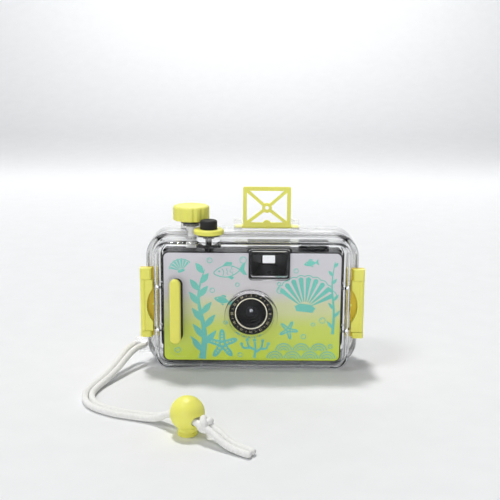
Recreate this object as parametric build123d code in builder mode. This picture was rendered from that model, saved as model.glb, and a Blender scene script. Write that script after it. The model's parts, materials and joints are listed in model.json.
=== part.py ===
from build123d import *
import os
from math import pi, radians, tan

# Film camera in a clear waterproof case. Millimetres: X runs across the front, Y from front to back,
# Z up. The case stands on Z = 0, with its middle at X = 0.

# Case
CASE_WIDTH = 125.6
CASE_HEIGHT = 82.0
CASE_CORNER = 15.0
RIM_FRONT = -10.0  # front face of the wide rim
SPLIT = 4.0  # where the rear cover meets the front shell
RIM_BACK = 13.0
RIM_WALL = 3.4
RIM_EDGE = 1.6
WALL = 2.0
NOSE_WIDTH = 115.0  # the narrower front of the case
NOSE_BOTTOM = 1.0
NOSE_TOP = 78.0
NOSE_CORNER = 8.5
NOSE_FRONT = -22.0
NOSE_EDGE = 4.0
BACK_WIDTH = 113.0  # the raised middle of the rear cover
BACK_BOTTOM = 2.4
BACK_TOP = 77.0
BACK_CORNER = 6.0
BACK_REAR = 22.0
SEAL_INSET = 0.8
SEAL_WIDTH = 1.8
SEAL_DEPTH = 1.5

# Camera inside the case
CAM_WIDTH = 105.6
CAM_BOTTOM = 4.8
CAM_TOP = 71.4
PANEL_WIDE = 103.8
PANEL_BOTTOM = 5.6
PANEL_TOP = 70.8
PANEL_FRONT = -16.5
CAM_CORNER = 3.5
CAM_FRONT = -16.0
CAM_SEAM = -8.0  # where the front cover meets the top cover and the back
CAM_TOP_BACK = 8.4
CAM_BACK = 13.5
CAM_WALL = 1.6
CAM_DECK = 55.7  # where the top cover meets the back
CHASSIS_WIDTH = 101.6
HUMP_LEFT = -3.2
HUMP_RIGHT = 22.8
HUMP_TOP = 73.8
SCREWS_X = (-49.0, 49.0)
SCREW_Y = 5.0
SCREW_TIP = 64.0
SCREW_R = 0.9
SCREW_HEAD = 1.9

# Optics
LENS_X = -0.6
LENS_Z = 35.0
RING_R = 13.0
RING_FACE_R = 12.4
RING_FRONT = -18.8
RING_BORE = 9.5
TRIM_BORE = 9.0
APERTURE_R = 1.1
FINDER_X = 9.8
FINDER_Z = 64.2
FINDER_WIDE = 19.8
FINDER_TALL = 12.8
EYE_WIDE = 7.5
EYE_TALL = 5.0
EYE_Z = 63.9
BEZEL_WIDE = 24.0
BEZEL_BOTTOM = 55.8
BEZEL_TOP = 73.2
TUNNEL_WIDE = 22.6
TUNNEL_BOTTOM = 56.4
TUNNEL_TOP = 72.4

# Shafts: place of each upright axis, and running clearance
WIND_X = -36.4
WIND_Y = -2.5
SHUTTER_X = -25.6
SHUTTER_Y = -15.0
REWIND_X = 36.4
SPROCKET_X = -21.5
SPROCKET_Y = 0.0
SPROCKET_R = 5.4
PERFORATIONS = LENS_Z + 14.9  # height of the upper row of holes in the film
COUNTER_X = -10.5
COUNTER_Y = -1.0
COUNTER_STEM_R = 1.0
DIAL_BOTTOM = 68.2
RUN = 0.05
SHAFT_R = 2.5
STEM_R = 1.5
SPINDLE_R = 2.4
REWIND_R = 2.0

# Shutter button
RELEASE_X = SHUTTER_X
RELEASE_Y = -11.6
RELEASE_R = 2.6
RELEASE_BOTTOM = 66.5
RELEASE_TOP = 73.6

# Film wheel
WHEEL_R = 11.7
WHEEL_BOTTOM = 60.0
WHEEL_TOP = 64.5
HUB_R = 4.5
SLOT_BOTTOM = 69.0

# Sports finder, standing up
HINGE_Y = -2.0
HINGE_Z = 84.1
ROD_R = 1.25
FINDER_LEFT = -5.8
FINDER_RIGHT = 22.5
FINDER_HEAD = 107.7
FRAME_BAR = 2.3
FRAME_DIAGONAL = 1.8
FRAME_DEEP = 2.2

# Latches, given for the side at +X
PIN_X = 64.7
PIN_Y = 9.0
PIN_R = 1.0
CLIP_PIN_BOTTOM = 26.0
CLIP_PIN_TOP = 55.7
CLIP_EAR = 4.0
LEVER_X = 64.1
LEVER_Y = -14.7
LEVER_PIN_R = 0.8
LEVER_PIN_BOTTOM = 21.0
LEVER_PIN_TOP = 59.6
LATCH_BOTTOM = 19.5
LATCH_TOP = 61.2
LEVER_BOTTOM = 23.25
LEVER_TOP = 54.35

# Wrist strap
CORD = 3.6
POST = (-67.8, -6.5)
POST_R = 1.3
LUG_BOTTOM = 7.6
LUG_TOP = 16.0
TAB_THICK = 1.7
BALL = (-31.9, -113.2, 11.2)
BALL_R = 8.7
BORE_Z = 9.3
STOPPER_PRESS = 2.5
PLUNGER_R = 5.0

# Route of each strand, from behind the post to its free end
STRAND_A = [
    (-65.92, -3.73, 11.7), (-63.15, -5.60, 11.7), (-69.6, -13.7, 11.7), (-74.4, -24.1, 8.2),
    (-79.1, -36.7, 4.1), (-85.4, -51.1, 1.9), (-88.2, -64.4, 1.9), (-83.7, -78.7, 1.9),
    (-71.4, -88.3, 1.9), (-57.8, -93.0, 1.9), (-46.2, -97.7, 2.7), (-38.3, -104.8, 9.3),
    (-24.5, -117.3, 9.3), (-16.9, -124.1, 7.2), (-8.4, -131.8, 2.0), (1.4, -138.0, 1.9),
]
STRAND_B = [
    (-65.92, -3.73, 11.7), (-68.70, -1.85, 11.7), (-74.1, -11.3, 11.7), (-78.0, -22.7, 8.2),
    (-82.7, -35.3, 4.1), (-89.0, -49.9, 1.9), (-92.2, -64.6, 1.9), (-87.1, -80.9, 1.9),
    (-73.2, -91.7, 1.9), (-59.2, -96.6, 1.9), (-48.2, -101.1, 2.7), (-40.9, -107.7, 9.3),
    (-27.1, -120.1, 9.3), (-19.5, -126.9, 7.2), (-10.8, -134.8, 2.0), (-0.6, -141.2, 1.9),
]

os.makedirs("parts", exist_ok=True)


def finish(part, name):
    """Labels a finished piece and writes its file."""
    part.label = name
    export_step(part, f"parts/{name}.step")


def front_plane(depth):
    """Upright plane seen from the front, at a depth along Y."""
    return Plane.XZ.offset(-depth)


def block(x0, x1, y0, y1, z0, z1, mode=Mode.ADD):
    """Box between two corners."""
    with Locations(((x0 + x1) / 2, (y0 + y1) / 2, (z0 + z1) / 2)):
        Box(x1 - x0, y1 - y0, z1 - z0, mode=mode)


def rounded(width, bottom, top, corner, front, back, middle=0.0, mode=Mode.ADD):
    """Block with rounded corners as seen from the front, between two depths."""
    with BuildSketch(front_plane(front)) as outline:
        with Locations((middle, (bottom + top) / 2)):
            RectangleRounded(width, top - bottom, corner)
    extrude(outline.sketch, amount=front - back, mode=mode)


def post(x, y, z0, z1, radius, mode=Mode.ADD):
    """Upright cylinder."""
    with Locations((x, y, (z0 + z1) / 2)):
        Cylinder(radius, z1 - z0, mode=mode)


def barrel(x, z, y0, y1, radius, mode=Mode.ADD):
    """Cylinder lying along Y."""
    with Locations((x, (y0 + y1) / 2, z)):
        Cylinder(radius, y1 - y0, rotation=(90, 0, 0), mode=mode)


def rod(y, z, x0, x1, radius, mode=Mode.ADD):
    """Cylinder lying along X."""
    with Locations(((x0 + x1) / 2, y, z)):
        Cylinder(radius, x1 - x0, rotation=(0, 90, 0), mode=mode)


def turned(points, middle_x, middle_z):
    """Ring turned about a line along Y, from a profile of (depth, radius) points."""
    profile_plane = Plane(origin=(middle_x, 0, middle_z), x_dir=(0, 1, 0), z_dir=(1, 0, 0))
    with BuildSketch(profile_plane) as profile:
        with BuildLine():
            Polyline(*points, close=True)
        make_face()
    revolve(profile.sketch, axis=Axis((middle_x, 0, middle_z), (0, 1, 0)))


def coil(x, y, z0, z1, mean_radius, wire, turns):
    """Compression spring standing on z0."""
    height = z1 - z0 - wire
    path = Helix(height / turns, height, mean_radius, center=(x, y, z0 + wire / 2))
    with BuildPart() as spring:
        with BuildSketch(Plane(origin=path @ 0, z_dir=path % 0)):
            Circle(wire / 2)
        sweep(path=path, is_frenet=True)
    return spring.part


# Front shell: nose, rim, lens port, finder window, grip ridge, bosses, finder ears, strap lug
PORT_R = 15.5
PORT_FRONT = -25.6
WINDOW_WIDE = 24.4
WINDOW_BOTTOM = 56.5
WINDOW_TOP = 74.6
WINDOW_WALL = 1.6
GRIP_X = -45.7
GRIP_FRONT = -25.0
RIDGE = (42.0, 9.6)  # height and width of the upright slots
PAD = (37.0, 7.0)
BAR = (38.6, 6.4)
PAD_THICK = 1.6
BAR_THICK = 2.6
SHUTTER_BOSS_R = 6.9
SHUTTER_BOSS_TOP = 80.9
WIND_BOSS_R = 6.2
WIND_BOSS_TOP = 86.3
WIND_SEAL_TOP = 87.7
WIND_GLAND = (84.4, 3.9)  # underside and radius
GLAND_R = 2.6
GLAND_BOTTOM = 79.3
GLAND_TOP = 80.6
COLLAR_R = 8.85
COLLAR_BOTTOM = 81.9
COLLAR_TOP = 84.9
EAR_TOP = 88.3
EARS = ((-11.2, -6.2), (22.9, 27.5))
PLINTH_TOP = 82.3
PLINTH_RIGHT = 34.0
RIBS_X = (-30.0, 30.0)
RIB = 1.6

with BuildPart() as shell_hollow:
    rounded(NOSE_WIDTH - 2 * WALL, NOSE_BOTTOM + WALL, NOSE_TOP - WALL, NOSE_CORNER - WALL,
            NOSE_FRONT + WALL, RIM_FRONT + WALL)
    fillet(shell_hollow.edges().group_by(Axis.Y)[0], NOSE_EDGE - WALL)
    rounded(CASE_WIDTH - 2 * RIM_WALL, RIM_WALL, CASE_HEIGHT - RIM_WALL, CASE_CORNER - RIM_WALL,
            RIM_FRONT + WALL, SPLIT)

with BuildPart() as front_shell:
    rounded(CASE_WIDTH, 0, CASE_HEIGHT, CASE_CORNER, RIM_FRONT, SPLIT)
    fillet(front_shell.edges().group_by(Axis.Y)[0], RIM_EDGE)
    with BuildPart(mode=Mode.PRIVATE) as nose:
        rounded(NOSE_WIDTH, NOSE_BOTTOM, NOSE_TOP, NOSE_CORNER, NOSE_FRONT, RIM_FRONT + 1)
        fillet(nose.edges().group_by(Axis.Y)[0], NOSE_EDGE)
    add(nose.part)
    # Strap lug: two tabs and a post
    for tab_bottom in (LUG_BOTTOM, LUG_TOP - TAB_THICK):
        block(POST[0] - 0.4, -55.0, POST[1] - 2.4, POST[1] + 2.4, tab_bottom, tab_bottom + TAB_THICK)
        post(*POST, tab_bottom, tab_bottom + TAB_THICK, 2.4)
    post(*POST, LUG_BOTTOM, LUG_TOP, POST_R)
    add(shell_hollow.part, mode=Mode.SUBTRACT)
    # Lens port
    barrel(LENS_X, LENS_Z, PORT_FRONT, NOSE_FRONT + WALL, PORT_R)
    port_edge = front_shell.faces().sort_by(Axis.Y)[0].outer_wire().edges()
    fillet(port_edge, 1.0)
    barrel(LENS_X, LENS_Z, PORT_FRONT + WALL, NOSE_FRONT + WALL, PORT_R - WALL, mode=Mode.SUBTRACT)
    # Finder window
    rounded(WINDOW_WIDE, WINDOW_BOTTOM, WINDOW_TOP, 2.4, NOSE_FRONT - 2.2, NOSE_FRONT + 0.5,
            middle=FINDER_X)
    rounded(WINDOW_WIDE - 2 * WINDOW_WALL, WINDOW_BOTTOM + WINDOW_WALL, WINDOW_TOP - WINDOW_WALL, 1.2,
            NOSE_FRONT - 0.6, NOSE_FRONT + WALL, middle=FINDER_X, mode=Mode.SUBTRACT)
    # Grip ridge with a wider foot
    with BuildPart(mode=Mode.PRIVATE) as ridge:
        with BuildSketch(front_plane(GRIP_FRONT)) as ridge_outline:
            with Locations((GRIP_X, 36.4)):
                SlotOverall(*RIDGE, rotation=90)
        extrude(ridge_outline.sketch, amount=GRIP_FRONT - NOSE_FRONT - 0.5)
        fillet(ridge.edges().group_by(Axis.Y)[0], 0.6)
    add(ridge.part)
    with BuildPart(mode=Mode.PRIVATE) as ridge_foot:
        barrel(GRIP_X + 3.7, 17.0, GRIP_FRONT + 0.6, NOSE_FRONT + 0.5, 7.4)
        fillet(ridge_foot.edges().group_by(Axis.Y)[0], 1.6)
    add(ridge_foot.part)
    # Bosses for the shutter plunger and the wind shaft
    post(SHUTTER_X, SHUTTER_Y, SHUTTER_BOSS_TOP, CASE_HEIGHT + 1, COLLAR_R + 0.45,
         mode=Mode.SUBTRACT)
    post(SHUTTER_X, SHUTTER_Y, NOSE_TOP - WALL, SHUTTER_BOSS_TOP, SHUTTER_BOSS_R)
    post(SHUTTER_X, SHUTTER_Y, NOSE_TOP - WALL, SHUTTER_BOSS_TOP, STEM_R + RUN, mode=Mode.SUBTRACT)
    post(SHUTTER_X, SHUTTER_Y, GLAND_BOTTOM, SHUTTER_BOSS_TOP, GLAND_R, mode=Mode.SUBTRACT)
    post(WIND_X, WIND_Y, CASE_HEIGHT - RIM_WALL, WIND_BOSS_TOP, WIND_BOSS_R)
    post(WIND_X, WIND_Y, CASE_HEIGHT - RIM_WALL, WIND_BOSS_TOP, SHAFT_R + RUN, mode=Mode.SUBTRACT)
    post(WIND_X, WIND_Y, WIND_GLAND[0], WIND_BOSS_TOP, WIND_GLAND[1], mode=Mode.SUBTRACT)
    # Plinth and ears for the sports finder
    block(EARS[0][0], PLINTH_RIGHT, HINGE_Y - 2.9, HINGE_Y + 2.9, CASE_HEIGHT - 0.5, PLINTH_TOP)
    for ear_left, ear_right in EARS:
        with BuildPart(mode=Mode.PRIVATE) as ear:
            block(ear_left, ear_right, HINGE_Y - 2.5, HINGE_Y + 2.5, CASE_HEIGHT - 0.5, EAR_TOP)
            fillet(ear.edges().filter_by(Axis.X).group_by(Axis.Z)[-1], 1.6)
        add(ear.part)
    rod(HINGE_Y, HINGE_Z, -12.0, 28.0, ROD_R + RUN, mode=Mode.SUBTRACT)
    # Ribs that hold the camera: two under it, two at each side with a stop in front of it
    for rib_x in RIBS_X:
        block(rib_x - RIB / 2, rib_x + RIB / 2, NOSE_FRONT + WALL, SPLIT - 1, NOSE_BOTTOM + 1.5, CAM_BOTTOM)
    for side in (-1, 1):
        for rib_z in (25.0, 51.0):
            near, far = sorted((side * CAM_WIDTH / 2, side * (NOSE_WIDTH / 2 - 1)))
            block(near, far, NOSE_FRONT + 1, RIM_FRONT + 1, rib_z - RIB / 2, rib_z + RIB / 2)
            near, far = sorted((side * (CAM_WIDTH / 2 - 0.7), side * (NOSE_WIDTH / 2 - 1)))
            block(near, far, NOSE_FRONT + 1, CAM_FRONT - 0.1, rib_z - RIB / 2, rib_z + RIB / 2)
finish(front_shell.part, "front_shell")

# Rear cover: rim with the seal's groove, raised back, ribs that push on the camera, ears for the latches
with BuildPart() as cover_hollow:
    rounded(BACK_WIDTH - 2 * WALL, BACK_BOTTOM + WALL, BACK_TOP - WALL, BACK_CORNER - WALL,
            RIM_BACK - WALL, BACK_REAR - WALL)
    fillet(cover_hollow.edges().group_by(Axis.Y)[-1], NOSE_EDGE - WALL)
    rounded(CASE_WIDTH - 2 * RIM_WALL, RIM_WALL, CASE_HEIGHT - RIM_WALL, CASE_CORNER - RIM_WALL,
            SPLIT, RIM_BACK - WALL)


def seal_band(mode=Mode.ADD):
    """Band that the seal fills, round the rim at the split."""
    with BuildSketch(front_plane(SPLIT)) as band:
        with Locations((0, CASE_HEIGHT / 2)):
            RectangleRounded(CASE_WIDTH - 2 * SEAL_INSET, CASE_HEIGHT - 2 * SEAL_INSET,
                             CASE_CORNER - SEAL_INSET)
            inner = SEAL_INSET + SEAL_WIDTH
            RectangleRounded(CASE_WIDTH - 2 * inner, CASE_HEIGHT - 2 * inner,
                             CASE_CORNER - inner, mode=Mode.SUBTRACT)
    extrude(band.sketch, amount=-SEAL_DEPTH, mode=mode)


with BuildPart() as rear_cover:
    rounded(CASE_WIDTH, 0, CASE_HEIGHT, CASE_CORNER, SPLIT, RIM_BACK)
    fillet(rear_cover.edges().group_by(Axis.Y)[-1], RIM_EDGE)
    with BuildPart(mode=Mode.PRIVATE) as raised:
        rounded(BACK_WIDTH, BACK_BOTTOM, BACK_TOP, BACK_CORNER, RIM_BACK - 1, BACK_REAR)
        fillet(raised.edges().group_by(Axis.Y)[-1], NOSE_EDGE)
    add(raised.part)
    add(cover_hollow.part, mode=Mode.SUBTRACT)
    seal_band(mode=Mode.SUBTRACT)
    for rib_x in RIBS_X:
        block(rib_x - RIB / 2, rib_x + RIB / 2, CAM_BACK + 0.1, BACK_REAR - WALL + 0.5, 14.0, 52.0)
    for side in (-1, 1):
        for ear_bottom in (CLIP_PIN_BOTTOM, CLIP_PIN_TOP - CLIP_EAR):
            near, far = sorted((side * (CASE_WIDTH / 2 - 1), side * PIN_X))
            block(near, far, PIN_Y - 2.1, PIN_Y + 2.1, ear_bottom, ear_bottom + CLIP_EAR)
            post(side * PIN_X, PIN_Y, ear_bottom, ear_bottom + CLIP_EAR, 2.1)
        post(side * PIN_X, PIN_Y, CLIP_PIN_BOTTOM, CLIP_PIN_TOP, PIN_R, mode=Mode.SUBTRACT)
finish(rear_cover.part, "rear_cover")

with BuildPart() as seal_ring:
    seal_band()
finish(seal_ring.part, "seal_ring")

# Grip pad and bar on the ridge
with BuildPart() as grip_pad:
    with BuildSketch(front_plane(GRIP_FRONT - PAD_THICK)) as pad_outline:
        with Locations((GRIP_X + 2.0, 39.0)):
            SlotOverall(*PAD, rotation=90)
    extrude(pad_outline.sketch, amount=-PAD_THICK)
finish(grip_pad.part, "grip_pad")

with BuildPart() as grip_bar:
    with BuildSketch(front_plane(GRIP_FRONT - PAD_THICK - BAR_THICK)) as bar_outline:
        with Locations((GRIP_X + 1.2, 38.2)):
            SlotOverall(*BAR, rotation=90)
    extrude(bar_outline.sketch, amount=-BAR_THICK)
    fillet(grip_bar.edges().group_by(Axis.Y)[0], 1.4)
finish(grip_bar.part, "grip_bar")

# Sports finder
RING_Z = 95.2
SIGHT_R = 2.9
SIGHT_HOLE = 1.2
with BuildPart() as finder_frame:
    middle_x = (FINDER_LEFT + FINDER_RIGHT) / 2
    wide = FINDER_RIGHT - FINDER_LEFT
    tall = FINDER_HEAD - HINGE_Z
    with BuildSketch(front_plane(HINGE_Y - FRAME_DEEP / 2)) as lattice:
        with Locations((middle_x, (HINGE_Z + FINDER_HEAD) / 2)):
            RectangleRounded(wide, tall, 0.9)
            Rectangle(wide - 2 * FRAME_BAR, tall - 2 * FRAME_BAR, mode=Mode.SUBTRACT)
        for corner_x in (FINDER_LEFT + FRAME_BAR / 2, FINDER_RIGHT - FRAME_BAR / 2):
            for corner_z in (HINGE_Z + FRAME_BAR / 2, FINDER_HEAD - FRAME_BAR / 2):
                with BuildLine() as diagonal:
                    Line((corner_x, corner_z), (middle_x, RING_Z))
                trace(lines=diagonal.line, line_width=FRAME_DIAGONAL)
        with Locations((middle_x, RING_Z)):
            Circle(SIGHT_R)
            Circle(SIGHT_HOLE, mode=Mode.SUBTRACT)
        with Locations((middle_x, HINGE_Z + 1.1)):
            Circle(2.6)
    extrude(lattice.sketch, amount=-FRAME_DEEP)
    rod(HINGE_Y, HINGE_Z, -10.6, 27.2, ROD_R)
    block(FINDER_LEFT, FINDER_RIGHT, HINGE_Y - 3, HINGE_Y + 3, HINGE_Z - 4, HINGE_Z - ROD_R,
          mode=Mode.SUBTRACT)
finish(finder_frame.part, "finder_frame")

# Wind knob, its shaft with a driving blade, seal, gland ring and clip
KNOB_BOTTOM = 88.0
KNOB_TOP = 96.5
KNOB_R = 10.8
FLUTES = 14
FLUTE_R = 2.6
SHAFT_TOP = 93.0
BLADE_TOP = 73.0
CLIP_Z = 77.6
CLIP_THICK = 0.8
CLIP_R = 2.0
with BuildPart() as wind_knob:
    with BuildSketch(Plane.XY.offset(KNOB_BOTTOM)) as knob_outline:
        with Locations((WIND_X, WIND_Y)):
            Circle(KNOB_R)
            with PolarLocations(KNOB_R + FLUTE_R - 0.45, FLUTES):
                Circle(FLUTE_R, mode=Mode.SUBTRACT)
        fillet(knob_outline.vertices(), 0.8)
    extrude(knob_outline.sketch, amount=KNOB_TOP - KNOB_BOTTOM)
    fillet(wind_knob.edges().group_by(Axis.Z)[-1], 1.5)
    fillet(wind_knob.edges().group_by(Axis.Z)[0], 0.5)
    post(WIND_X, WIND_Y, KNOB_BOTTOM, SHAFT_TOP, SHAFT_R, mode=Mode.SUBTRACT)
finish(wind_knob.part, "wind_knob")

with BuildPart() as wind_shaft:
    post(WIND_X, WIND_Y, BLADE_TOP, SHAFT_TOP, SHAFT_R)
    block(WIND_X - 3.2, WIND_X + 3.2, WIND_Y - 0.9, WIND_Y + 0.9, SLOT_BOTTOM + 0.4,
          BLADE_TOP)
    with Locations((WIND_X, WIND_Y, CLIP_Z)):
        Cylinder(SHAFT_R, CLIP_THICK, mode=Mode.SUBTRACT)
        Cylinder(CLIP_R, CLIP_THICK)
finish(wind_shaft.part, "wind_shaft")

with BuildPart() as wind_clip:
    with Locations((WIND_X, WIND_Y, CLIP_Z)):
        Cylinder(4.3, CLIP_THICK)
        Cylinder(CLIP_R, CLIP_THICK, mode=Mode.SUBTRACT)
    with Locations((WIND_X, WIND_Y + 2.5, CLIP_Z)):
        Box(2.4, 5.0, CLIP_THICK, mode=Mode.SUBTRACT)
finish(wind_clip.part, "wind_clip")

with BuildPart() as wind_seal:
    post(WIND_X, WIND_Y, WIND_BOSS_TOP, WIND_SEAL_TOP, WIND_BOSS_R)
    post(WIND_X, WIND_Y, WIND_BOSS_TOP, WIND_SEAL_TOP, SHAFT_R + RUN, mode=Mode.SUBTRACT)
finish(wind_seal.part, "wind_seal")

with BuildPart() as wind_gland:
    post(WIND_X, WIND_Y, WIND_GLAND[0], WIND_BOSS_TOP, WIND_GLAND[1])
    post(WIND_X, WIND_Y, WIND_GLAND[0], WIND_BOSS_TOP, SHAFT_R + RUN, mode=Mode.SUBTRACT)
finish(wind_gland.part, "wind_gland")

# Shutter button: rubber cap, plunger with a wide foot, spring, collar, washer and gland ring
CAP_BOTTOM = 83.9
CAP_TOP = 90.0
CAP_R = 5.0
CAP_WALL = 1.1
CAP_ROOF = 88.4
STEM_TOP = 89.2
FOOT_BOTTOM = 73.9
FOOT_TOP = 75.8
FOOT = (14.4, 9.6)
with BuildPart() as shutter_cap:
    post(SHUTTER_X, SHUTTER_Y, CAP_BOTTOM, CAP_TOP, CAP_R)
    fillet(shutter_cap.edges().group_by(Axis.Z)[-1], 1.0)
    post(SHUTTER_X, SHUTTER_Y, CAP_BOTTOM, CAP_ROOF, CAP_R - CAP_WALL, mode=Mode.SUBTRACT)
    post(SHUTTER_X, SHUTTER_Y, CAP_ROOF, STEM_TOP, STEM_R, mode=Mode.SUBTRACT)
finish(shutter_cap.part, "shutter_cap")

with BuildPart() as shutter_plunger:
    post(SHUTTER_X, SHUTTER_Y, FOOT_TOP - 1, STEM_TOP, STEM_R)
    with BuildSketch(Plane.XY.offset(FOOT_BOTTOM)) as foot:
        with Locations((SHUTTER_X, SHUTTER_Y + 1.2)):
            RectangleRounded(*FOOT, 2.5)
    extrude(foot.sketch, amount=FOOT_TOP - FOOT_BOTTOM)
finish(shutter_plunger.part, "shutter_plunger")

finish(coil(SHUTTER_X, SHUTTER_Y, SHUTTER_BOSS_TOP, CAP_ROOF, 3.0, 0.6, 4.5), "shutter_spring")

with BuildPart() as shutter_collar:
    post(SHUTTER_X, SHUTTER_Y, COLLAR_BOTTOM, COLLAR_TOP, COLLAR_R)
    fillet(shutter_collar.edges().group_by(Axis.Z)[-1], 1.3)
    fillet(shutter_collar.edges().group_by(Axis.Z)[0], 1.0)
    post(SHUTTER_X, SHUTTER_Y, COLLAR_BOTTOM, COLLAR_TOP, CAP_R + 0.3, mode=Mode.SUBTRACT)
finish(shutter_collar.part, "shutter_collar")

with BuildPart() as shutter_washer:
    post(SHUTTER_X, SHUTTER_Y, SHUTTER_BOSS_TOP, COLLAR_BOTTOM, 6.2)
    post(SHUTTER_X, SHUTTER_Y, SHUTTER_BOSS_TOP, COLLAR_BOTTOM, CAP_R + 0.3, mode=Mode.SUBTRACT)
finish(shutter_washer.part, "shutter_washer")

with BuildPart() as shutter_gland:
    post(SHUTTER_X, SHUTTER_Y, GLAND_BOTTOM, GLAND_TOP, GLAND_R)
    post(SHUTTER_X, SHUTTER_Y, GLAND_BOTTOM, GLAND_TOP, STEM_R + RUN, mode=Mode.SUBTRACT)
finish(shutter_gland.part, "shutter_gland")

# Side latches: a clip that pivots on the rear cover and hooks over the rim, and the lever on its nose
NOTCH_R = 16.0
NOTCH_DEEP = 3.5
STRAP_FRONT = -12.6
STRAP_BACK = -10.6
ARM_NEAR = 63.1
ARM_FAR = 65.9
PLATE_NEAR = 57.6
CAP_NEAR = 59.2
CAP_FAR = 66.1
CAP_TALL = 3.5
TOP_CAP_BOTTOM = 54.6
LEVER_NEAR = 58.6
CLIP_BOTTOM = 30.0
CLIP_TOP = 51.4


def side_block(side, near, far, y0, y1, z0, z1, mode=Mode.ADD):
    """Box given by its distances from the middle, on one side."""
    low, high = sorted((side * near, side * far))
    block(low, high, y0, y1, z0, z1, mode=mode)


def latch_clip(side):
    """Knuckle on the rear cover's pin, arm along the side, hook plate and two end caps."""
    with BuildPart() as clip:
        side_block(side, ARM_NEAR, ARM_FAR, STRAP_FRONT, PIN_Y, CLIP_BOTTOM, CLIP_TOP)
        side_block(side, PLATE_NEAR, ARM_FAR, STRAP_FRONT, STRAP_BACK, LATCH_BOTTOM, LATCH_TOP)
        for cap_bottom, cap_top in ((LATCH_BOTTOM, LATCH_BOTTOM + CAP_TALL), (TOP_CAP_BOTTOM, LATCH_TOP)):
            side_block(side, CAP_NEAR, CAP_FAR, LEVER_Y - 1.9, STRAP_FRONT, cap_bottom, cap_top)
        caps = clip.edges().filter_by(Axis.Z).group_by(Axis.Y)[0]
        fillet(caps, 1.7)
        post(side * PIN_X, PIN_Y, CLIP_BOTTOM, CLIP_TOP, 1.8)
        post(side * PIN_X, PIN_Y, CLIP_BOTTOM, CLIP_TOP, PIN_R + RUN, mode=Mode.SUBTRACT)
        post(side * LEVER_X, LEVER_Y, LEVER_PIN_BOTTOM, LEVER_PIN_TOP, LEVER_PIN_R, mode=Mode.SUBTRACT)
        barrel(side * (PLATE_NEAR + 0.8), 38.8, STRAP_FRONT - 0.3, STRAP_FRONT, 0.7)
    return clip.part


def latch_lever(side):
    """Finger lever: plate with a notch in its inner edge, on an upright pin at its outer edge."""
    middle = (LEVER_BOTTOM + LEVER_TOP) / 2
    with BuildPart() as lever:
        side_block(side, LEVER_NEAR, LEVER_X, LEVER_Y - 1.5, LEVER_Y + 1.5, LEVER_BOTTOM, LEVER_TOP)
        barrel(side * (LEVER_NEAR + NOTCH_DEEP - NOTCH_R), middle, LEVER_Y - 2, LEVER_Y + 2, NOTCH_R,
               mode=Mode.SUBTRACT)
        post(side * LEVER_X, LEVER_Y, LEVER_BOTTOM, LEVER_TOP, 1.9)
        post(side * LEVER_X, LEVER_Y, LEVER_BOTTOM, LEVER_TOP, LEVER_PIN_R + RUN, mode=Mode.SUBTRACT)
    return lever.part


for hand, side in (("left", -1), ("right", 1)):
    finish(latch_clip(side), f"latch_clip_{hand}")
    finish(latch_lever(side), f"latch_lever_{hand}")
    with BuildPart() as clip_pin:
        post(side * PIN_X, PIN_Y, CLIP_PIN_BOTTOM, CLIP_PIN_TOP, PIN_R)
    finish(clip_pin.part, f"clip_pin_{hand}")
    with BuildPart() as lever_pin:
        post(side * LEVER_X, LEVER_Y, LEVER_PIN_BOTTOM, LEVER_PIN_TOP, LEVER_PIN_R)
    finish(lever_pin.part, f"lever_pin_{hand}")

# Camera front cover and its printed panel
with BuildPart() as camera_front:
    rounded(CAM_WIDTH, CAM_BOTTOM, CAM_TOP, CAM_CORNER, CAM_FRONT, CAM_SEAM)
    fillet(camera_front.edges().group_by(Axis.Y)[0], 0.8)
    hump_wide = HUMP_RIGHT - HUMP_LEFT
    rounded(hump_wide, CAM_TOP - 5, HUMP_TOP, 1.6, CAM_FRONT, CAM_SEAM, middle=FINDER_X + 0.2)
    rounded(CAM_WIDTH - 2 * CAM_WALL, CAM_BOTTOM + CAM_WALL, CAM_TOP - CAM_WALL,
            CAM_CORNER - CAM_WALL, CAM_FRONT + CAM_WALL, CAM_SEAM, mode=Mode.SUBTRACT)
    rounded(TUNNEL_WIDE + 0.2, TUNNEL_BOTTOM - 0.2, TUNNEL_TOP + 0.2, 1.0, CAM_FRONT, CAM_SEAM,
            middle=FINDER_X, mode=Mode.SUBTRACT)
    barrel(LENS_X, LENS_Z, CAM_FRONT, CAM_SEAM, RING_BORE + 0.2, mode=Mode.SUBTRACT)
    post(RELEASE_X, RELEASE_Y, CAM_TOP - CAM_WALL, CAM_TOP, RELEASE_R + RUN, mode=Mode.SUBTRACT)
finish(camera_front.part, "camera_front")

with BuildPart() as front_panel:
    rounded(PANEL_WIDE, PANEL_BOTTOM, PANEL_TOP, 3.0, PANEL_FRONT, CAM_FRONT)
    barrel(LENS_X, LENS_Z, PANEL_FRONT, CAM_FRONT, RING_R + 0.1, mode=Mode.SUBTRACT)
    rounded(BEZEL_WIDE + 0.2, BEZEL_BOTTOM - 0.2, BEZEL_TOP + 0.8, 1.6, PANEL_FRONT, CAM_FRONT,
            middle=FINDER_X, mode=Mode.SUBTRACT)
finish(front_panel.part, "front_panel")

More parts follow.
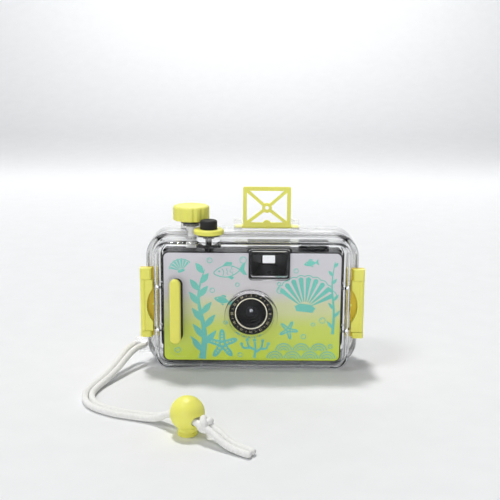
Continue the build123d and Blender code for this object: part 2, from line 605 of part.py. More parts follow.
# Camera top cover: hump over the finder, holes for the hub, the rewind shaft and the counter
with BuildPart() as camera_top:
    rounded(CAM_WIDTH, CAM_DECK, CAM_TOP, 1.2, CAM_SEAM, CAM_TOP_BACK)
    fillet(camera_top.edges().group_by(Axis.Y)[-1].group_by(Axis.Z)[-1], 1.0)
    rounded(hump_wide, CAM_TOP - 5, HUMP_TOP, 1.6, CAM_SEAM, CAM_TOP_BACK, middle=FINDER_X + 0.2)
    block(-CAM_WIDTH / 2 + CAM_WALL, CAM_WIDTH / 2 - CAM_WALL, CAM_SEAM, CAM_TOP_BACK - CAM_WALL,
          CAM_DECK, CAM_TOP - CAM_WALL, mode=Mode.SUBTRACT)
    rounded(TUNNEL_WIDE + 0.2, TUNNEL_BOTTOM - 0.2, TUNNEL_TOP + 0.2, 1.0, CAM_SEAM, CAM_TOP_BACK,
            middle=FINDER_X, mode=Mode.SUBTRACT)
    post(WIND_X, WIND_Y, CAM_TOP - 2, CAM_TOP, HUB_R + RUN, mode=Mode.SUBTRACT)
    post(REWIND_X, WIND_Y, CAM_TOP - 2, CAM_TOP, REWIND_R + RUN, mode=Mode.SUBTRACT)
    post(COUNTER_X, COUNTER_Y + 4.3, CAM_TOP - 2, CAM_TOP, 2.0, mode=Mode.SUBTRACT)
    block(WIND_X - 8.5, WIND_X + 8.5, CAM_TOP_BACK - 2, CAM_TOP_BACK, WHEEL_BOTTOM - 0.6,
          WHEEL_TOP + 0.6, mode=Mode.SUBTRACT)
    for screw_x in SCREWS_X:
        post(screw_x, SCREW_Y, CAM_TOP - 2, CAM_TOP, 1.0, mode=Mode.SUBTRACT)
        post(screw_x, SCREW_Y, CAM_TOP - 0.9, CAM_TOP, SCREW_HEAD, mode=Mode.SUBTRACT)
finish(camera_top.part, "camera_top")

# Camera back: a deep tray that closes the film bays
with BuildPart() as camera_back:
    rounded(CAM_WIDTH, CAM_BOTTOM, CAM_DECK - 0.1, 1.6, CAM_SEAM, CAM_BACK)
    fillet(camera_back.edges().group_by(Axis.Y)[-1], 1.2)
    rounded(CAM_WIDTH - 2 * CAM_WALL, CAM_BOTTOM + CAM_WALL, CAM_DECK + 3, 0.8, CAM_SEAM,
            CAM_BACK - CAM_WALL, mode=Mode.SUBTRACT)
    # Finger grooves at the edge where it opens
    for groove in range(5):
        groove_x = 38.0 + 2.2 * groove
        block(groove_x, groove_x + 1.0, CAM_BACK - 0.5, CAM_BACK, 22.0, 40.0, mode=Mode.SUBTRACT)
finish(camera_back.part, "camera_back")

# Chassis: film bays left and right, light path from the lens to the film gate
BAY_R = 12.4
BAY_Y = -1.25
GATE_Y = 6.0
CHASSIS_FRONT = -13.9
CHASSIS_BACK = 11.6
CHASSIS_BOTTOM = 6.6
CHASSIS_TOP = 55.5
BOX_BACK = -9.6  # back of the box that holds the lens board
FILM_WIDE = 36.0
FILM_TALL = 24.0
DIAL_BOSS_BOTTOM = 60.0
DIAL_BOSS_TOP = 67.0
with BuildPart() as camera_chassis:
    rounded(CHASSIS_WIDTH, CHASSIS_BOTTOM, CHASSIS_TOP, 2.0, CHASSIS_FRONT, CHASSIS_BACK)
    for bay_x in (WIND_X, REWIND_X):
        post(bay_x, BAY_Y, CHASSIS_BOTTOM + 1.6, CHASSIS_TOP - 1.6, BAY_R, mode=Mode.SUBTRACT)
        block(bay_x - BAY_R, bay_x + BAY_R, BAY_Y, CHASSIS_BACK, CHASSIS_BOTTOM + 1.6,
              CHASSIS_TOP - 1.6, mode=Mode.SUBTRACT)
    block(-30, 30, GATE_Y, CHASSIS_BACK, CHASSIS_BOTTOM + 1.6, CHASSIS_TOP - 1.6, mode=Mode.SUBTRACT)
    block(LENS_X - 15, LENS_X + 15, CHASSIS_FRONT, BOX_BACK, LENS_Z - 14.5, LENS_Z + 14.5,
          mode=Mode.SUBTRACT)
    with BuildPart(mode=Mode.PRIVATE) as light_path:
        with BuildSketch(front_plane(BOX_BACK - 0.1)):
            with Locations((LENS_X, LENS_Z)):
                Rectangle(14, 12)
        with BuildSketch(front_plane(GATE_Y + 0.1)):
            with Locations((LENS_X, LENS_Z)):
                Rectangle(FILM_WIDE, FILM_TALL)
        loft()
    add(light_path.part, mode=Mode.SUBTRACT)
    post(SPROCKET_X, SPROCKET_Y, PERFORATIONS - 1.3, PERFORATIONS + 1.6, SPROCKET_R + 1.1,
         mode=Mode.SUBTRACT)
    post(SPROCKET_X, SPROCKET_Y, PERFORATIONS - 1.3, CHASSIS_TOP, STEM_R + RUN, mode=Mode.SUBTRACT)
    post(WIND_X, WIND_Y, CHASSIS_TOP - 2, CHASSIS_TOP, SPINDLE_R + RUN, mode=Mode.SUBTRACT)
    post(REWIND_X, WIND_Y, CHASSIS_TOP - 2, CHASSIS_TOP, REWIND_R + RUN, mode=Mode.SUBTRACT)
    for screw_x in SCREWS_X:
        post(screw_x, SCREW_Y, CHASSIS_TOP - 1, CAM_TOP - CAM_WALL, 1.6)
        post(screw_x, SCREW_Y, SCREW_TIP, CAM_TOP - CAM_WALL, SCREW_R, mode=Mode.SUBTRACT)
    # Boss that carries the counter dial
    post(COUNTER_X, COUNTER_Y, CHASSIS_TOP - 1, DIAL_BOSS_TOP, 2.4)
    post(COUNTER_X, COUNTER_Y, DIAL_BOSS_BOTTOM, DIAL_BOSS_TOP, COUNTER_STEM_R + RUN, mode=Mode.SUBTRACT)
finish(camera_chassis.part, "camera_chassis")

with BuildPart() as camera_screws:
    for screw_x in SCREWS_X:
        post(screw_x, SCREW_Y, SCREW_TIP, CAM_TOP - 0.2, SCREW_R)
        post(screw_x, SCREW_Y, CAM_TOP - 0.9, CAM_TOP - 0.1, SCREW_HEAD - 0.1)
        for half_x, half_y in ((1.2, 0.2), (0.2, 1.2)):
            block(screw_x - half_x, screw_x + half_x, SCREW_Y - half_y, SCREW_Y + half_y,
                  CAM_TOP - 0.5, CAM_TOP, mode=Mode.SUBTRACT)
finish(camera_screws.part, "camera_screws")

# Pressure plate and the leaf spring behind it
SPRING_TALL = 12.0
with BuildPart() as pressure_plate:
    rounded(56.0, LENS_Z - 17.0, LENS_Z + 17.0, 1.5, GATE_Y + 0.6, GATE_Y + 1.6)
finish(pressure_plate.part, "pressure_plate")

with BuildPart() as plate_spring:
    with BuildSketch(Plane.XY.offset(LENS_Z - SPRING_TALL / 2)) as leaf:
        with BuildLine():
            bow = ThreePointArc((-16, 7.6), (0, 11.8), (16, 7.6))
            inner_bow = ThreePointArc((-15.4, 7.6), (0, 11.4), (15.4, 7.6))
            Line(bow @ 0, inner_bow @ 0)
            Line(bow @ 1, inner_bow @ 1)
        make_face()
    extrude(leaf.sketch, amount=SPRING_TALL)
finish(plate_spring.part, "plate_spring")

# Film transport: thumbwheel with a slotted hub, take-up spool, sprocket, counter dial
SPINDLE_BOTTOM = 50.0
SPOOL_BOTTOM = 8.6
SPOOL_TOP = 53.5
FLANGE = 1.0
with BuildPart() as thumbwheel:
    post(WIND_X, WIND_Y, WHEEL_BOTTOM, WHEEL_TOP, WHEEL_R)
    with Locations((WIND_X, WIND_Y, (WHEEL_BOTTOM + WHEEL_TOP) / 2)):
        with PolarLocations(WHEEL_R + 0.25, 36):
            Cylinder(0.6, WHEEL_TOP - WHEEL_BOTTOM, mode=Mode.SUBTRACT)
    post(WIND_X, WIND_Y, WHEEL_TOP, CAM_TOP - 0.2, HUB_R)
    block(WIND_X - 5, WIND_X + 5, WIND_Y - 1.1, WIND_Y + 1.1, SLOT_BOTTOM, CAM_TOP, mode=Mode.SUBTRACT)
    post(WIND_X, WIND_Y, SPINDLE_BOTTOM, WHEEL_BOTTOM, SPINDLE_R)
finish(thumbwheel.part, "thumbwheel")

with BuildPart() as takeup_spool:
    post(WIND_X, WIND_Y, SPOOL_BOTTOM, SPOOL_TOP, 6.0)
    for flange_bottom in (SPOOL_BOTTOM, SPOOL_TOP - FLANGE):
        post(WIND_X, WIND_Y, flange_bottom, flange_bottom + FLANGE, 9.5)
    post(WIND_X, WIND_Y, SPINDLE_BOTTOM, SPOOL_TOP, SPINDLE_R, mode=Mode.SUBTRACT)
    block(WIND_X - 0.6, WIND_X + 0.6, WIND_Y - 7, WIND_Y, LENS_Z - 15, LENS_Z + 14, mode=Mode.SUBTRACT)
finish(takeup_spool.part, "takeup_spool")

with BuildPart() as film_sprocket:
    post(SPROCKET_X, SPROCKET_Y, PERFORATIONS - 1, PERFORATIONS + 1, SPROCKET_R)
    with Locations((SPROCKET_X, SPROCKET_Y, PERFORATIONS)):
        with PolarLocations(SPROCKET_R, 8):
            Box(1.4, 1.4, 1.4)
    post(SPROCKET_X, SPROCKET_Y, PERFORATIONS - 1, 58.0, STEM_R)
finish(film_sprocket.part, "film_sprocket")

with BuildPart() as counter_dial:
    post(COUNTER_X, COUNTER_Y, DIAL_BOTTOM, DIAL_BOTTOM + 1, 6.6)
    post(COUNTER_X, COUNTER_Y, DIAL_BOSS_BOTTOM + 1, DIAL_BOTTOM, COUNTER_STEM_R)
finish(counter_dial.part, "counter_dial")

# Rewind: knob with its folded crank, and the fork that turns the cartridge
FORK_BOTTOM = 46.0
FORK_TOP = 53.0
REWIND_KNOB_R = 9.0
REWIND_KNOB_TOP = 74.6
with BuildPart() as rewind_knob:
    post(REWIND_X, WIND_Y, CAM_TOP + 0.3, REWIND_KNOB_TOP, REWIND_KNOB_R)
    fillet(rewind_knob.edges().group_by(Axis.Z)[-1], 0.8)
    block(REWIND_X - 7.5, REWIND_X + 7.5, WIND_Y - 2.0, WIND_Y + 2.0, REWIND_KNOB_TOP - 0.6,
          REWIND_KNOB_TOP + 1.2)
    post(REWIND_X, WIND_Y, FORK_TOP, CAM_TOP + 0.3, REWIND_R)
finish(rewind_knob.part, "rewind_knob")

with BuildPart() as rewind_fork:
    post(REWIND_X, WIND_Y, FORK_BOTTOM, FORK_TOP, 3.0)
    block(REWIND_X - 4, REWIND_X + 4, WIND_Y - 1.2, WIND_Y + 1.2, FORK_BOTTOM,
          FORK_BOTTOM + 4, mode=Mode.SUBTRACT)
finish(rewind_fork.part, "rewind_fork")

# Release button under the plunger's foot
with BuildPart() as release_button:
    post(RELEASE_X, RELEASE_Y, RELEASE_BOTTOM, RELEASE_TOP, RELEASE_R)
    fillet(release_button.edges().group_by(Axis.Z)[-1], 0.5)
    block(RELEASE_X - 4, RELEASE_X + 4, RELEASE_Y - 2.4, RELEASE_Y + 2.4, RELEASE_BOTTOM,
          RELEASE_BOTTOM + 3.1)
finish(release_button.part, "release_button")

# Lens: ring, trim, stepped funnel, two elements, board and shutter blade
FUNNEL_FRONT = -17.4
BOARD_FRONT = -11.9
BOARD_BACK = -10.9
GLASS_R = 3.2
FUNNEL_STEPS = [
    (-16.6, 8.7), (-16.2, 7.3), (-15.6, 7.3), (-15.2, 5.8), (-14.6, 5.8), (-14.2, 4.2), (-13.4, 4.2),
    (-12.9, GLASS_R),
]
REAR_GLASS_FRONT = -9.6
REAR_GLASS_BACK = -8.4
REAR_GLASS_R = 4.0
BLADE_PIN_R = 0.8
with BuildPart() as lens_ring:
    turned([(CAM_FRONT, RING_R), (RING_FRONT + 0.6, RING_R), (RING_FRONT, RING_FACE_R),
            (RING_FRONT, RING_BORE + 0.5), (RING_FRONT + 0.3, RING_BORE), (CAM_FRONT, RING_BORE)],
           LENS_X, LENS_Z)
finish(lens_ring.part, "lens_ring")

with BuildPart() as lens_trim:
    turned([(FUNNEL_FRONT, RING_BORE), (RING_FRONT + 0.1, RING_BORE), (RING_FRONT + 0.1, TRIM_BORE),
            (FUNNEL_FRONT, TRIM_BORE)], LENS_X, LENS_Z)
finish(lens_trim.part, "lens_trim")

with BuildPart() as lens_funnel:
    turned([(FUNNEL_FRONT, RING_BORE), (FUNNEL_FRONT, TRIM_BORE - 0.3), *FUNNEL_STEPS,
            (BOARD_FRONT, GLASS_R), (BOARD_FRONT, 6.0), (FUNNEL_FRONT + 3.4, RING_BORE)], LENS_X, LENS_Z)
finish(lens_funnel.part, "lens_funnel")

with BuildPart() as lens_front_element:
    barrel(LENS_X, LENS_Z, BOARD_FRONT - 1.6, BOARD_FRONT - 0.1, GLASS_R)
    fillet(lens_front_element.edges().group_by(Axis.Y)[0], 1.0)
finish(lens_front_element.part, "lens_front_element")

BLADE_PIVOT = (LENS_X - 8.0, LENS_Z - 7.0)
with BuildPart() as lens_board:
    rounded(29.0, LENS_Z - 13.5, LENS_Z + 13.5, 1.5, BOARD_FRONT, BOARD_BACK, middle=LENS_X)
    barrel(LENS_X, LENS_Z, BOARD_FRONT, BOARD_BACK, APERTURE_R, mode=Mode.SUBTRACT)
    barrel(*BLADE_PIVOT, BOARD_BACK, BOARD_BACK + 1, BLADE_PIN_R)
finish(lens_board.part, "lens_board")

with BuildPart() as shutter_blade:
    with BuildSketch(front_plane(BOARD_BACK + 0.2)) as blade:
        with Locations(BLADE_PIVOT):
            Circle(2.2)
        with Locations((LENS_X, LENS_Z)):
            Circle(2.4)
        with BuildLine() as arm:
            Line(BLADE_PIVOT, (LENS_X, LENS_Z))
        trace(lines=arm.line, line_width=2.6)
        with Locations(BLADE_PIVOT):
            Circle(BLADE_PIN_R + RUN, mode=Mode.SUBTRACT)
    extrude(blade.sketch, amount=-0.4)
finish(shutter_blade.part, "shutter_blade")

with BuildPart() as lens_rear_element:
    barrel(LENS_X, LENS_Z, REAR_GLASS_FRONT, REAR_GLASS_BACK, REAR_GLASS_R)
    fillet(lens_rear_element.edges().group_by(Axis.Y)[-1], 0.4)
finish(lens_rear_element.part, "lens_rear_element")

with BuildPart() as rear_lens_holder:
    rounded(13.8, LENS_Z - 5.9, LENS_Z + 5.9, 0.5, REAR_GLASS_FRONT, REAR_GLASS_BACK, middle=LENS_X)
    barrel(LENS_X, LENS_Z, REAR_GLASS_FRONT, REAR_GLASS_BACK, REAR_GLASS_R, mode=Mode.SUBTRACT)
finish(rear_lens_holder.part, "rear_lens_holder")

# Viewfinder: bezel, tunnel that narrows to the field stop and widens to the eye, two windows
TUNNEL_FRONT = -15.4
STOP_FRONT = -1.6
STOP_BACK = -0.6
TUNNEL_BACK = 8.2
with BuildPart() as finder_bezel:
    rounded(BEZEL_WIDE, BEZEL_BOTTOM, BEZEL_TOP, 1.6, CAM_FRONT - 1.4, CAM_FRONT, middle=FINDER_X)
    fillet(finder_bezel.edges().group_by(Axis.Y)[0], 0.5)
    rounded(FINDER_WIDE, FINDER_Z - FINDER_TALL / 2, FINDER_Z + FINDER_TALL / 2, 1.0,
            CAM_FRONT - 1.4, CAM_FRONT, middle=FINDER_X, mode=Mode.SUBTRACT)
finish(finder_bezel.part, "finder_bezel")

with BuildPart() as finder_tunnel:
    rounded(TUNNEL_WIDE, TUNNEL_BOTTOM, TUNNEL_TOP, 0.8, TUNNEL_FRONT, TUNNEL_BACK, middle=FINDER_X)
    for near, far in ((TUNNEL_FRONT, STOP_FRONT), (TUNNEL_BACK, STOP_BACK)):
        with BuildPart(mode=Mode.PRIVATE) as taper:
            with BuildSketch(front_plane(near)):
                with Locations((FINDER_X, FINDER_Z)):
                    RectangleRounded(FINDER_WIDE, FINDER_TALL, 1.0)
            with BuildSketch(front_plane(far)):
                with Locations((FINDER_X, EYE_Z)):
                    RectangleRounded(EYE_WIDE + 1.0, EYE_TALL + 1.0, 0.6)
            loft()
        add(taper.part, mode=Mode.SUBTRACT)
    rounded(EYE_WIDE, EYE_Z - EYE_TALL / 2, EYE_Z + EYE_TALL / 2, 0.4, STOP_FRONT - 1,
            STOP_BACK + 1, middle=FINDER_X, mode=Mode.SUBTRACT)
finish(finder_tunnel.part, "finder_tunnel")

with BuildPart() as finder_front_window:
    rounded(TUNNEL_WIDE, TUNNEL_BOTTOM, TUNNEL_TOP, 0.8, CAM_FRONT, TUNNEL_FRONT, middle=FINDER_X)
finish(finder_front_window.part, "finder_front_window")

with BuildPart() as finder_eyepiece:
    rounded(TUNNEL_WIDE, TUNNEL_BOTTOM, TUNNEL_TOP, 0.8, TUNNEL_BACK, TUNNEL_BACK + 0.8,
            middle=FINDER_X)
finish(finder_eyepiece.part, "finder_eyepiece")


# Wrist strap: two strands of one doubled cord, stopper, plunger, spring and knot
def corner_radii(points):
    """Largest arc that both runs at each corner allow; the first corner goes round the post."""
    radii = [3.0]
    for before, here, after in zip(points[1:], points[2:], points[3:]):
        run_in = Vector(*here) - Vector(*before)
        run_out = Vector(*after) - Vector(*here)
        half_turn = radians(run_in.get_angle(run_out) / 2)
        radii.append(0.45 * min(run_in.length, run_out.length) / tan(half_turn))
    return radii


def strand(points, name):
    """Tube of one strand along its route."""
    radii = corner_radii(points)
    with BuildPart() as tube:
        with BuildLine() as route:
            path = FilletPolyline(*points, radius=radii)
        with BuildSketch(Plane(origin=path @ 0, z_dir=path % 0)):
            Circle(CORD / 2)
        sweep(path=route.line)
    length = path.length
    section = pi * CORD**2 / 4
    print(name, "radii", [round(r, 1) for r in radii], "length", round(length, 1),
          "volume ratio", round(tube.part.volume / (section * length), 4))
    return tube.part


finish(strand(STRAND_A, "strap_strand_a"), "strap_strand_a")
finish(strand(STRAND_B, "strap_strand_b"), "strap_strand_b")

THROUGH = Vector(*STRAND_A[12]) - Vector(*STRAND_A[11])
bore_plane = Plane(origin=(BALL[0], BALL[1], BORE_Z), x_dir=(0, 0, 1), z_dir=THROUGH)
BORE_WIDE = 8.6
BORE_TALL = 4.8
GROOVE = 0.35
SPRING_TOP = 18.2
PLUNGER_TOP = 14.0

with BuildPart() as stopper_ball:
    with Locations(BALL):
        Sphere(BALL_R)
    post(BALL[0], BALL[1], 0, SPRING_TOP, PLUNGER_R + RUN, mode=Mode.SUBTRACT)
    with BuildSketch(bore_plane) as ball_bore:
        SlotOverall(BORE_WIDE, BORE_TALL, rotation=90)
    extrude(ball_bore.sketch, amount=BALL_R + 1, both=True, mode=Mode.SUBTRACT)
finish(stopper_ball.part, "stopper_ball")

with BuildPart() as stopper_plunger:
    post(BALL[0], BALL[1], 0, PLUNGER_TOP, PLUNGER_R)
    fillet(stopper_plunger.edges().group_by(Axis.Z)[0], 0.5)
    for groove_z in (1.0, 2.0):
        post(BALL[0], BALL[1], groove_z, groove_z + GROOVE, PLUNGER_R, mode=Mode.SUBTRACT)
        post(BALL[0], BALL[1], groove_z, groove_z + GROOVE, PLUNGER_R - GROOVE)
    window_low = BORE_Z - CORD / 2 - STOPPER_PRESS - 0.4
    window_high = BORE_Z + CORD / 2 + 0.2
    window_middle = (BALL[0], BALL[1], (window_low + window_high) / 2)
    window_plane = Plane(origin=window_middle, x_dir=(0, 0, 1), z_dir=THROUGH)
    with BuildSketch(window_plane) as window:
        Rectangle(window_high - window_low, 7.9)
    extrude(window.sketch, amount=PLUNGER_R + 1, both=True, mode=Mode.SUBTRACT)
finish(stopper_plunger.part, "stopper_plunger")

finish(coil(BALL[0], BALL[1], PLUNGER_TOP, SPRING_TOP, 3.2, 0.5, 2.5), "stopper_spring")

KNOT = (-22.6, -121.6, 8.9)
KNOT_R = 4.7
with BuildPart() as strap_knot:
    with Locations(KNOT):
        Sphere(KNOT_R)
finish(strap_knot.part, "strap_knot")
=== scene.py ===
import json
from math import cos, floor, hypot, pi, radians, sin

import bmesh
import bpy
from mathutils import Matrix, Vector
from mathutils.geometry import tessellate_polygon


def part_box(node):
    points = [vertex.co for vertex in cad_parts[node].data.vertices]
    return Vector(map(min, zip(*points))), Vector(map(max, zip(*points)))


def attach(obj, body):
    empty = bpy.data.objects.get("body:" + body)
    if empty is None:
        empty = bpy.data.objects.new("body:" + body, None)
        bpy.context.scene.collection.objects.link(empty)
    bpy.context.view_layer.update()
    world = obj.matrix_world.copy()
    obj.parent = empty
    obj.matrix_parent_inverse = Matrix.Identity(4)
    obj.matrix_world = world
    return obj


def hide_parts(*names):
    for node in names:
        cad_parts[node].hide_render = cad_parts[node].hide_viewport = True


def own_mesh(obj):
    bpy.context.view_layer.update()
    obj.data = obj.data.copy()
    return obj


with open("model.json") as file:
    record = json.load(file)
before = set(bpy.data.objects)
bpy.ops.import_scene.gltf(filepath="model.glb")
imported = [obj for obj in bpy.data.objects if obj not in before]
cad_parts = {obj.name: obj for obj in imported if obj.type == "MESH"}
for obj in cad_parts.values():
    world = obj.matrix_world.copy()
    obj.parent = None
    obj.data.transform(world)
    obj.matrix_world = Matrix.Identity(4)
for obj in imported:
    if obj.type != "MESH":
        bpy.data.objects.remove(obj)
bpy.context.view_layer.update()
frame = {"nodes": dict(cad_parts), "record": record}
nodes = frame["nodes"]
MM = 0.001

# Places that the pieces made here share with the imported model, in millimetres
LENS = (-0.6, 35.0)
PANEL_FACE = -16.5
PANEL_LOW = 5.6
PANEL_HIGH = 70.8
RING_FACE = -18.8
RING_MIDDLE = 11.15
STRAP_PLATE = -12.6
CASE_WIDTH = 125.6
CASE_HEIGHT = 82.0
CASE_CORNER = 15.0
RIM_SIDE = 57.2
RIM_ABOVE = 78.5
SEAL_MIDDLE = 1.7
SEAL_DEPTH = 4.75
CORD_R = 1.8
KNOT = (-22.6, -121.6, 8.9)
STRAND_A = [
    (-65.92, -3.73, 11.7), (-63.15, -5.60, 11.7), (-69.6, -13.7, 11.7), (-74.4, -24.1, 8.2),
    (-79.1, -36.7, 4.1), (-85.4, -51.1, 1.9), (-88.2, -64.4, 1.9), (-83.7, -78.7, 1.9),
    (-71.4, -88.3, 1.9), (-57.8, -93.0, 1.9), (-46.2, -97.7, 2.7), (-38.3, -104.8, 9.3),
    (-24.5, -117.3, 9.3), (-16.9, -124.1, 7.2), (-8.4, -131.8, 2.0), (1.4, -138.0, 1.9),
]
STRAND_B = [
    (-65.92, -3.73, 11.7), (-68.70, -1.85, 11.7), (-74.1, -11.3, 11.7), (-78.0, -22.7, 8.2),
    (-82.7, -35.3, 4.1), (-89.0, -49.9, 1.9), (-92.2, -64.6, 1.9), (-87.1, -80.9, 1.9),
    (-73.2, -91.7, 1.9), (-59.2, -96.6, 1.9), (-48.2, -101.1, 2.7), (-40.9, -107.7, 9.3),
    (-27.1, -120.1, 9.3), (-19.5, -126.9, 7.2), (-10.8, -134.8, 2.0), (-0.6, -141.2, 1.9),
]

# The two points of the first strand's route that the knot lies between
ROUTE_AT_KNOT = (11, 12)

# Half the thickness of the numbers on the lens ring, in millimetres
NUMBER_HALF_THICK = 0.03

# The photograph's view: focal length, place in millimetres, and turns in degrees
VIEW_LENS = 67.2
VIEW_PLACE = (-1.5, -546.6, 188.3)
VIEW_DOWN = 12.3
VIEW_ROLL = 0.4

# Values that most noise lies between
NOISE_LOW = 0.3
NOISE_HIGH = 0.7


# Stage: camera, lights, and a floor that curves up into a backdrop
def add_camera():
    """The photograph's view: a long lens, a little above the object, looking slightly down."""
    data = bpy.data.cameras.new("camera")
    data.lens = VIEW_LENS
    camera = bpy.data.objects.new("camera", data)
    tilt = Matrix.Rotation(radians(90 - VIEW_DOWN), 4, "X")
    roll = Matrix.Rotation(radians(VIEW_ROLL), 4, "Z")
    camera.matrix_world = Matrix.Translation(Vector(VIEW_PLACE) * MM) @ tilt @ roll
    bpy.context.scene.collection.objects.link(camera)
    bpy.context.scene.camera = camera


def add_sun(name, direction, strength, angle, color=(1.0, 1.0, 1.0)):
    """Distant soft light that comes from a direction, with its width as an angle in degrees."""
    data = bpy.data.lights.new(name, "SUN")
    data.energy = strength
    data.angle = radians(angle)
    data.color = color
    lamp = bpy.data.objects.new(name, data)
    lamp.location = direction
    lamp.rotation_euler = Vector(direction).to_track_quat("Z", "Y").to_euler()
    bpy.context.scene.collection.objects.link(lamp)


def mesh_object(name, vertices, faces, smooth=True):
    """Object from vertices in millimetres."""
    mesh = bpy.data.meshes.new(name)
    mesh.from_pydata([Vector(v) * MM for v in vertices], [], faces)
    mesh.validate()
    made = bpy.data.objects.new(name, mesh)
    bpy.context.scene.collection.objects.link(made)
    if smooth:
        mesh.shade_smooth()
    return made


def add_floor(look):
    """Sheet that runs level under the object and bends up behind it."""
    half_width, near, bend_start, bend_radius, top = 2500, -1500, 900, 900, 2600
    profile = [(near, 0.0)]
    bend_steps = 24
    for step in range(bend_steps + 1):
        turn = pi / 2 * step / bend_steps
        profile.append((bend_start + bend_radius * sin(turn), bend_radius * (1 - cos(turn))))
    profile.append((bend_start + bend_radius, top))
    vertices = [(x, y, z) for y, z in profile for x in (-half_width, half_width)]
    faces = [(2 * i, 2 * i + 1, 2 * i + 3, 2 * i + 2) for i in range(len(profile) - 1)]
    sheet = mesh_object("studio_sheet", vertices, faces)
    sheet.data.materials.append(look)


def set_up_world():
    """White surroundings: bright in reflections and through clear plastic, weaker as a light."""
    seen, as_light = 0.95, 0.13
    world = bpy.data.worlds.new("studio")
    world.use_nodes = True
    tree = world.node_tree
    path = tree.nodes.new("ShaderNodeLightPath")
    level = tree.nodes.new("ShaderNodeMapRange")
    level.inputs["To Min"].default_value = seen
    level.inputs["To Max"].default_value = as_light
    background = tree.nodes["Background"]
    background.inputs["Color"].default_value = (0.95, 0.965, 1.0, 1)
    tree.links.new(path.outputs["Is Diffuse Ray"], level.inputs["Value"])
    tree.links.new(level.outputs["Result"], background.inputs["Strength"])
    bpy.context.scene.world = world


def add_backdrop_light():
    """Soft lamp above the view that lights the backdrop."""
    place = Vector((0.0, 1.35, 0.9))
    aim = Vector((0.0, 1.8, 0.4))
    data = bpy.data.lights.new("backdrop", "AREA")
    data.size = 0.8
    data.energy = 4.4
    lamp = bpy.data.objects.new("backdrop", data)
    lamp.location = place
    lamp.rotation_euler = (aim - lamp.location).to_track_quat("-Z", "Y").to_euler()
    bpy.context.scene.collection.objects.link(lamp)


def set_up_light():
    """A key overhead and a little behind, a softer one on the left, and a wide low one in front."""
    add_sun("key", (-0.12, 0.33, 1.0), 1.87, 8, (1.0, 0.99, 0.97))
    add_sun("side", (-0.56, -0.33, 1.0), 0.70, 18)
    add_sun("front", (-0.1, -1.0, 0.05), 1.32, 60)
    add_backdrop_light()
    bpy.context.scene.view_settings.view_transform = "Standard"


# Material helpers
def add_node(tree, kind, inputs=None, **settings):
    """New node, with settings, and inputs given as values or as sockets to link."""
    node = tree.nodes.new(kind)
    for key, value in settings.items():
        setattr(node, key, value)
    for key, value in (inputs or {}).items():
        if isinstance(value, bpy.types.NodeSocket):
            tree.links.new(value, node.inputs[key])
        else:
            node.inputs[key].default_value = value
    return node


def plain_look(name, **values):
    """Material with one Principled shader; each value is given by its socket's name."""
    look = bpy.data.materials.new(name)
    look.use_nodes = True
    shader = look.node_tree.nodes["Principled BSDF"]
    for key, value in values.items():
        socket = shader.inputs[key.replace("_", " ")]
        socket.default_value = (*value, 1.0) if isinstance(value, tuple) else value
    return look


def noise(look, grain_mm, detail=3.0, stretch=(1, 1, 1)):
    """Noise whose grains are about that size on the object."""
    tree = look.node_tree
    place = add_node(tree, "ShaderNodeTexCoord")
    scaled = add_node(tree, "ShaderNodeMapping", {"Vector": place.outputs["Object"]})
    scaled.inputs["Scale"].default_value = stretch
    scale = 1 / (grain_mm * MM)
    made = add_node(tree, "ShaderNodeTexNoise", {"Vector": scaled.outputs["Vector"], "Scale": scale})
    made.inputs["Detail"].default_value = detail
    return made.outputs["Fac"]


def axis_ramp(look, axis, low_mm, high_mm):
    """Value that rises from 0 to 1 between two places along an axis."""
    tree = look.node_tree
    place = add_node(tree, "ShaderNodeTexCoord")
    axes = add_node(tree, "ShaderNodeSeparateXYZ", {"Vector": place.outputs["Object"]})
    ramp = add_node(tree, "ShaderNodeMapRange", {"Value": axes.outputs[axis]})
    ramp.inputs["From Min"].default_value = low_mm * MM
    ramp.inputs["From Max"].default_value = high_mm * MM
    return ramp.outputs["Result"]


def vary_color(look, first, second, grain_mm, low=0.35, high=0.65):
    """Base colour that drifts between two tones."""
    tree = look.node_tree
    ramp = add_node(tree, "ShaderNodeValToRGB", {"Fac": noise(look, grain_mm)})
    ramp.color_ramp.elements[0].position = low
    ramp.color_ramp.elements[1].position = high
    ramp.color_ramp.elements[0].color = (*first, 1)
    ramp.color_ramp.elements[1].color = (*second, 1)
    tree.links.new(ramp.outputs["Color"], tree.nodes["Principled BSDF"].inputs["Base Color"])


def vary_roughness(look, low, high, grain_mm, stretch=(1, 1, 1)):
    """Roughness that changes from place to place, as handled plastic has."""
    tree = look.node_tree
    spread = add_node(tree, "ShaderNodeMapRange", {"Value": noise(look, grain_mm, stretch=stretch)})
    spread.inputs["From Min"].default_value = NOISE_LOW
    spread.inputs["From Max"].default_value = NOISE_HIGH
    spread.inputs["To Min"].default_value = low
    spread.inputs["To Max"].default_value = high
    tree.links.new(spread.outputs["Result"], tree.nodes["Principled BSDF"].inputs["Roughness"])


def add_bump(look, height, depth_mm, strength=1.0):
    """Relief from a height, on top of the relief that the look already has."""
    tree = look.node_tree
    normal = tree.nodes["Principled BSDF"].inputs["Normal"]
    relief = add_node(tree, "ShaderNodeBump", {"Height": height, "Strength": strength})
    relief.inputs["Distance"].default_value = depth_mm * MM
    if normal.links:
        tree.links.new(normal.links[0].from_socket, relief.inputs["Normal"])
    tree.links.new(relief.outputs["Normal"], normal)


def tint_along(look, factor, color):
    """Mixes a second colour into the base colour by a factor."""
    tree = look.node_tree
    base = tree.nodes["Principled BSDF"].inputs["Base Color"]
    mix = add_node(tree, "ShaderNodeMixRGB", {"Fac": factor, "Color1": base.links[0].from_socket})
    mix.inputs["Color2"].default_value = (*color, 1)
    tree.links.new(mix.outputs["Color"], base)


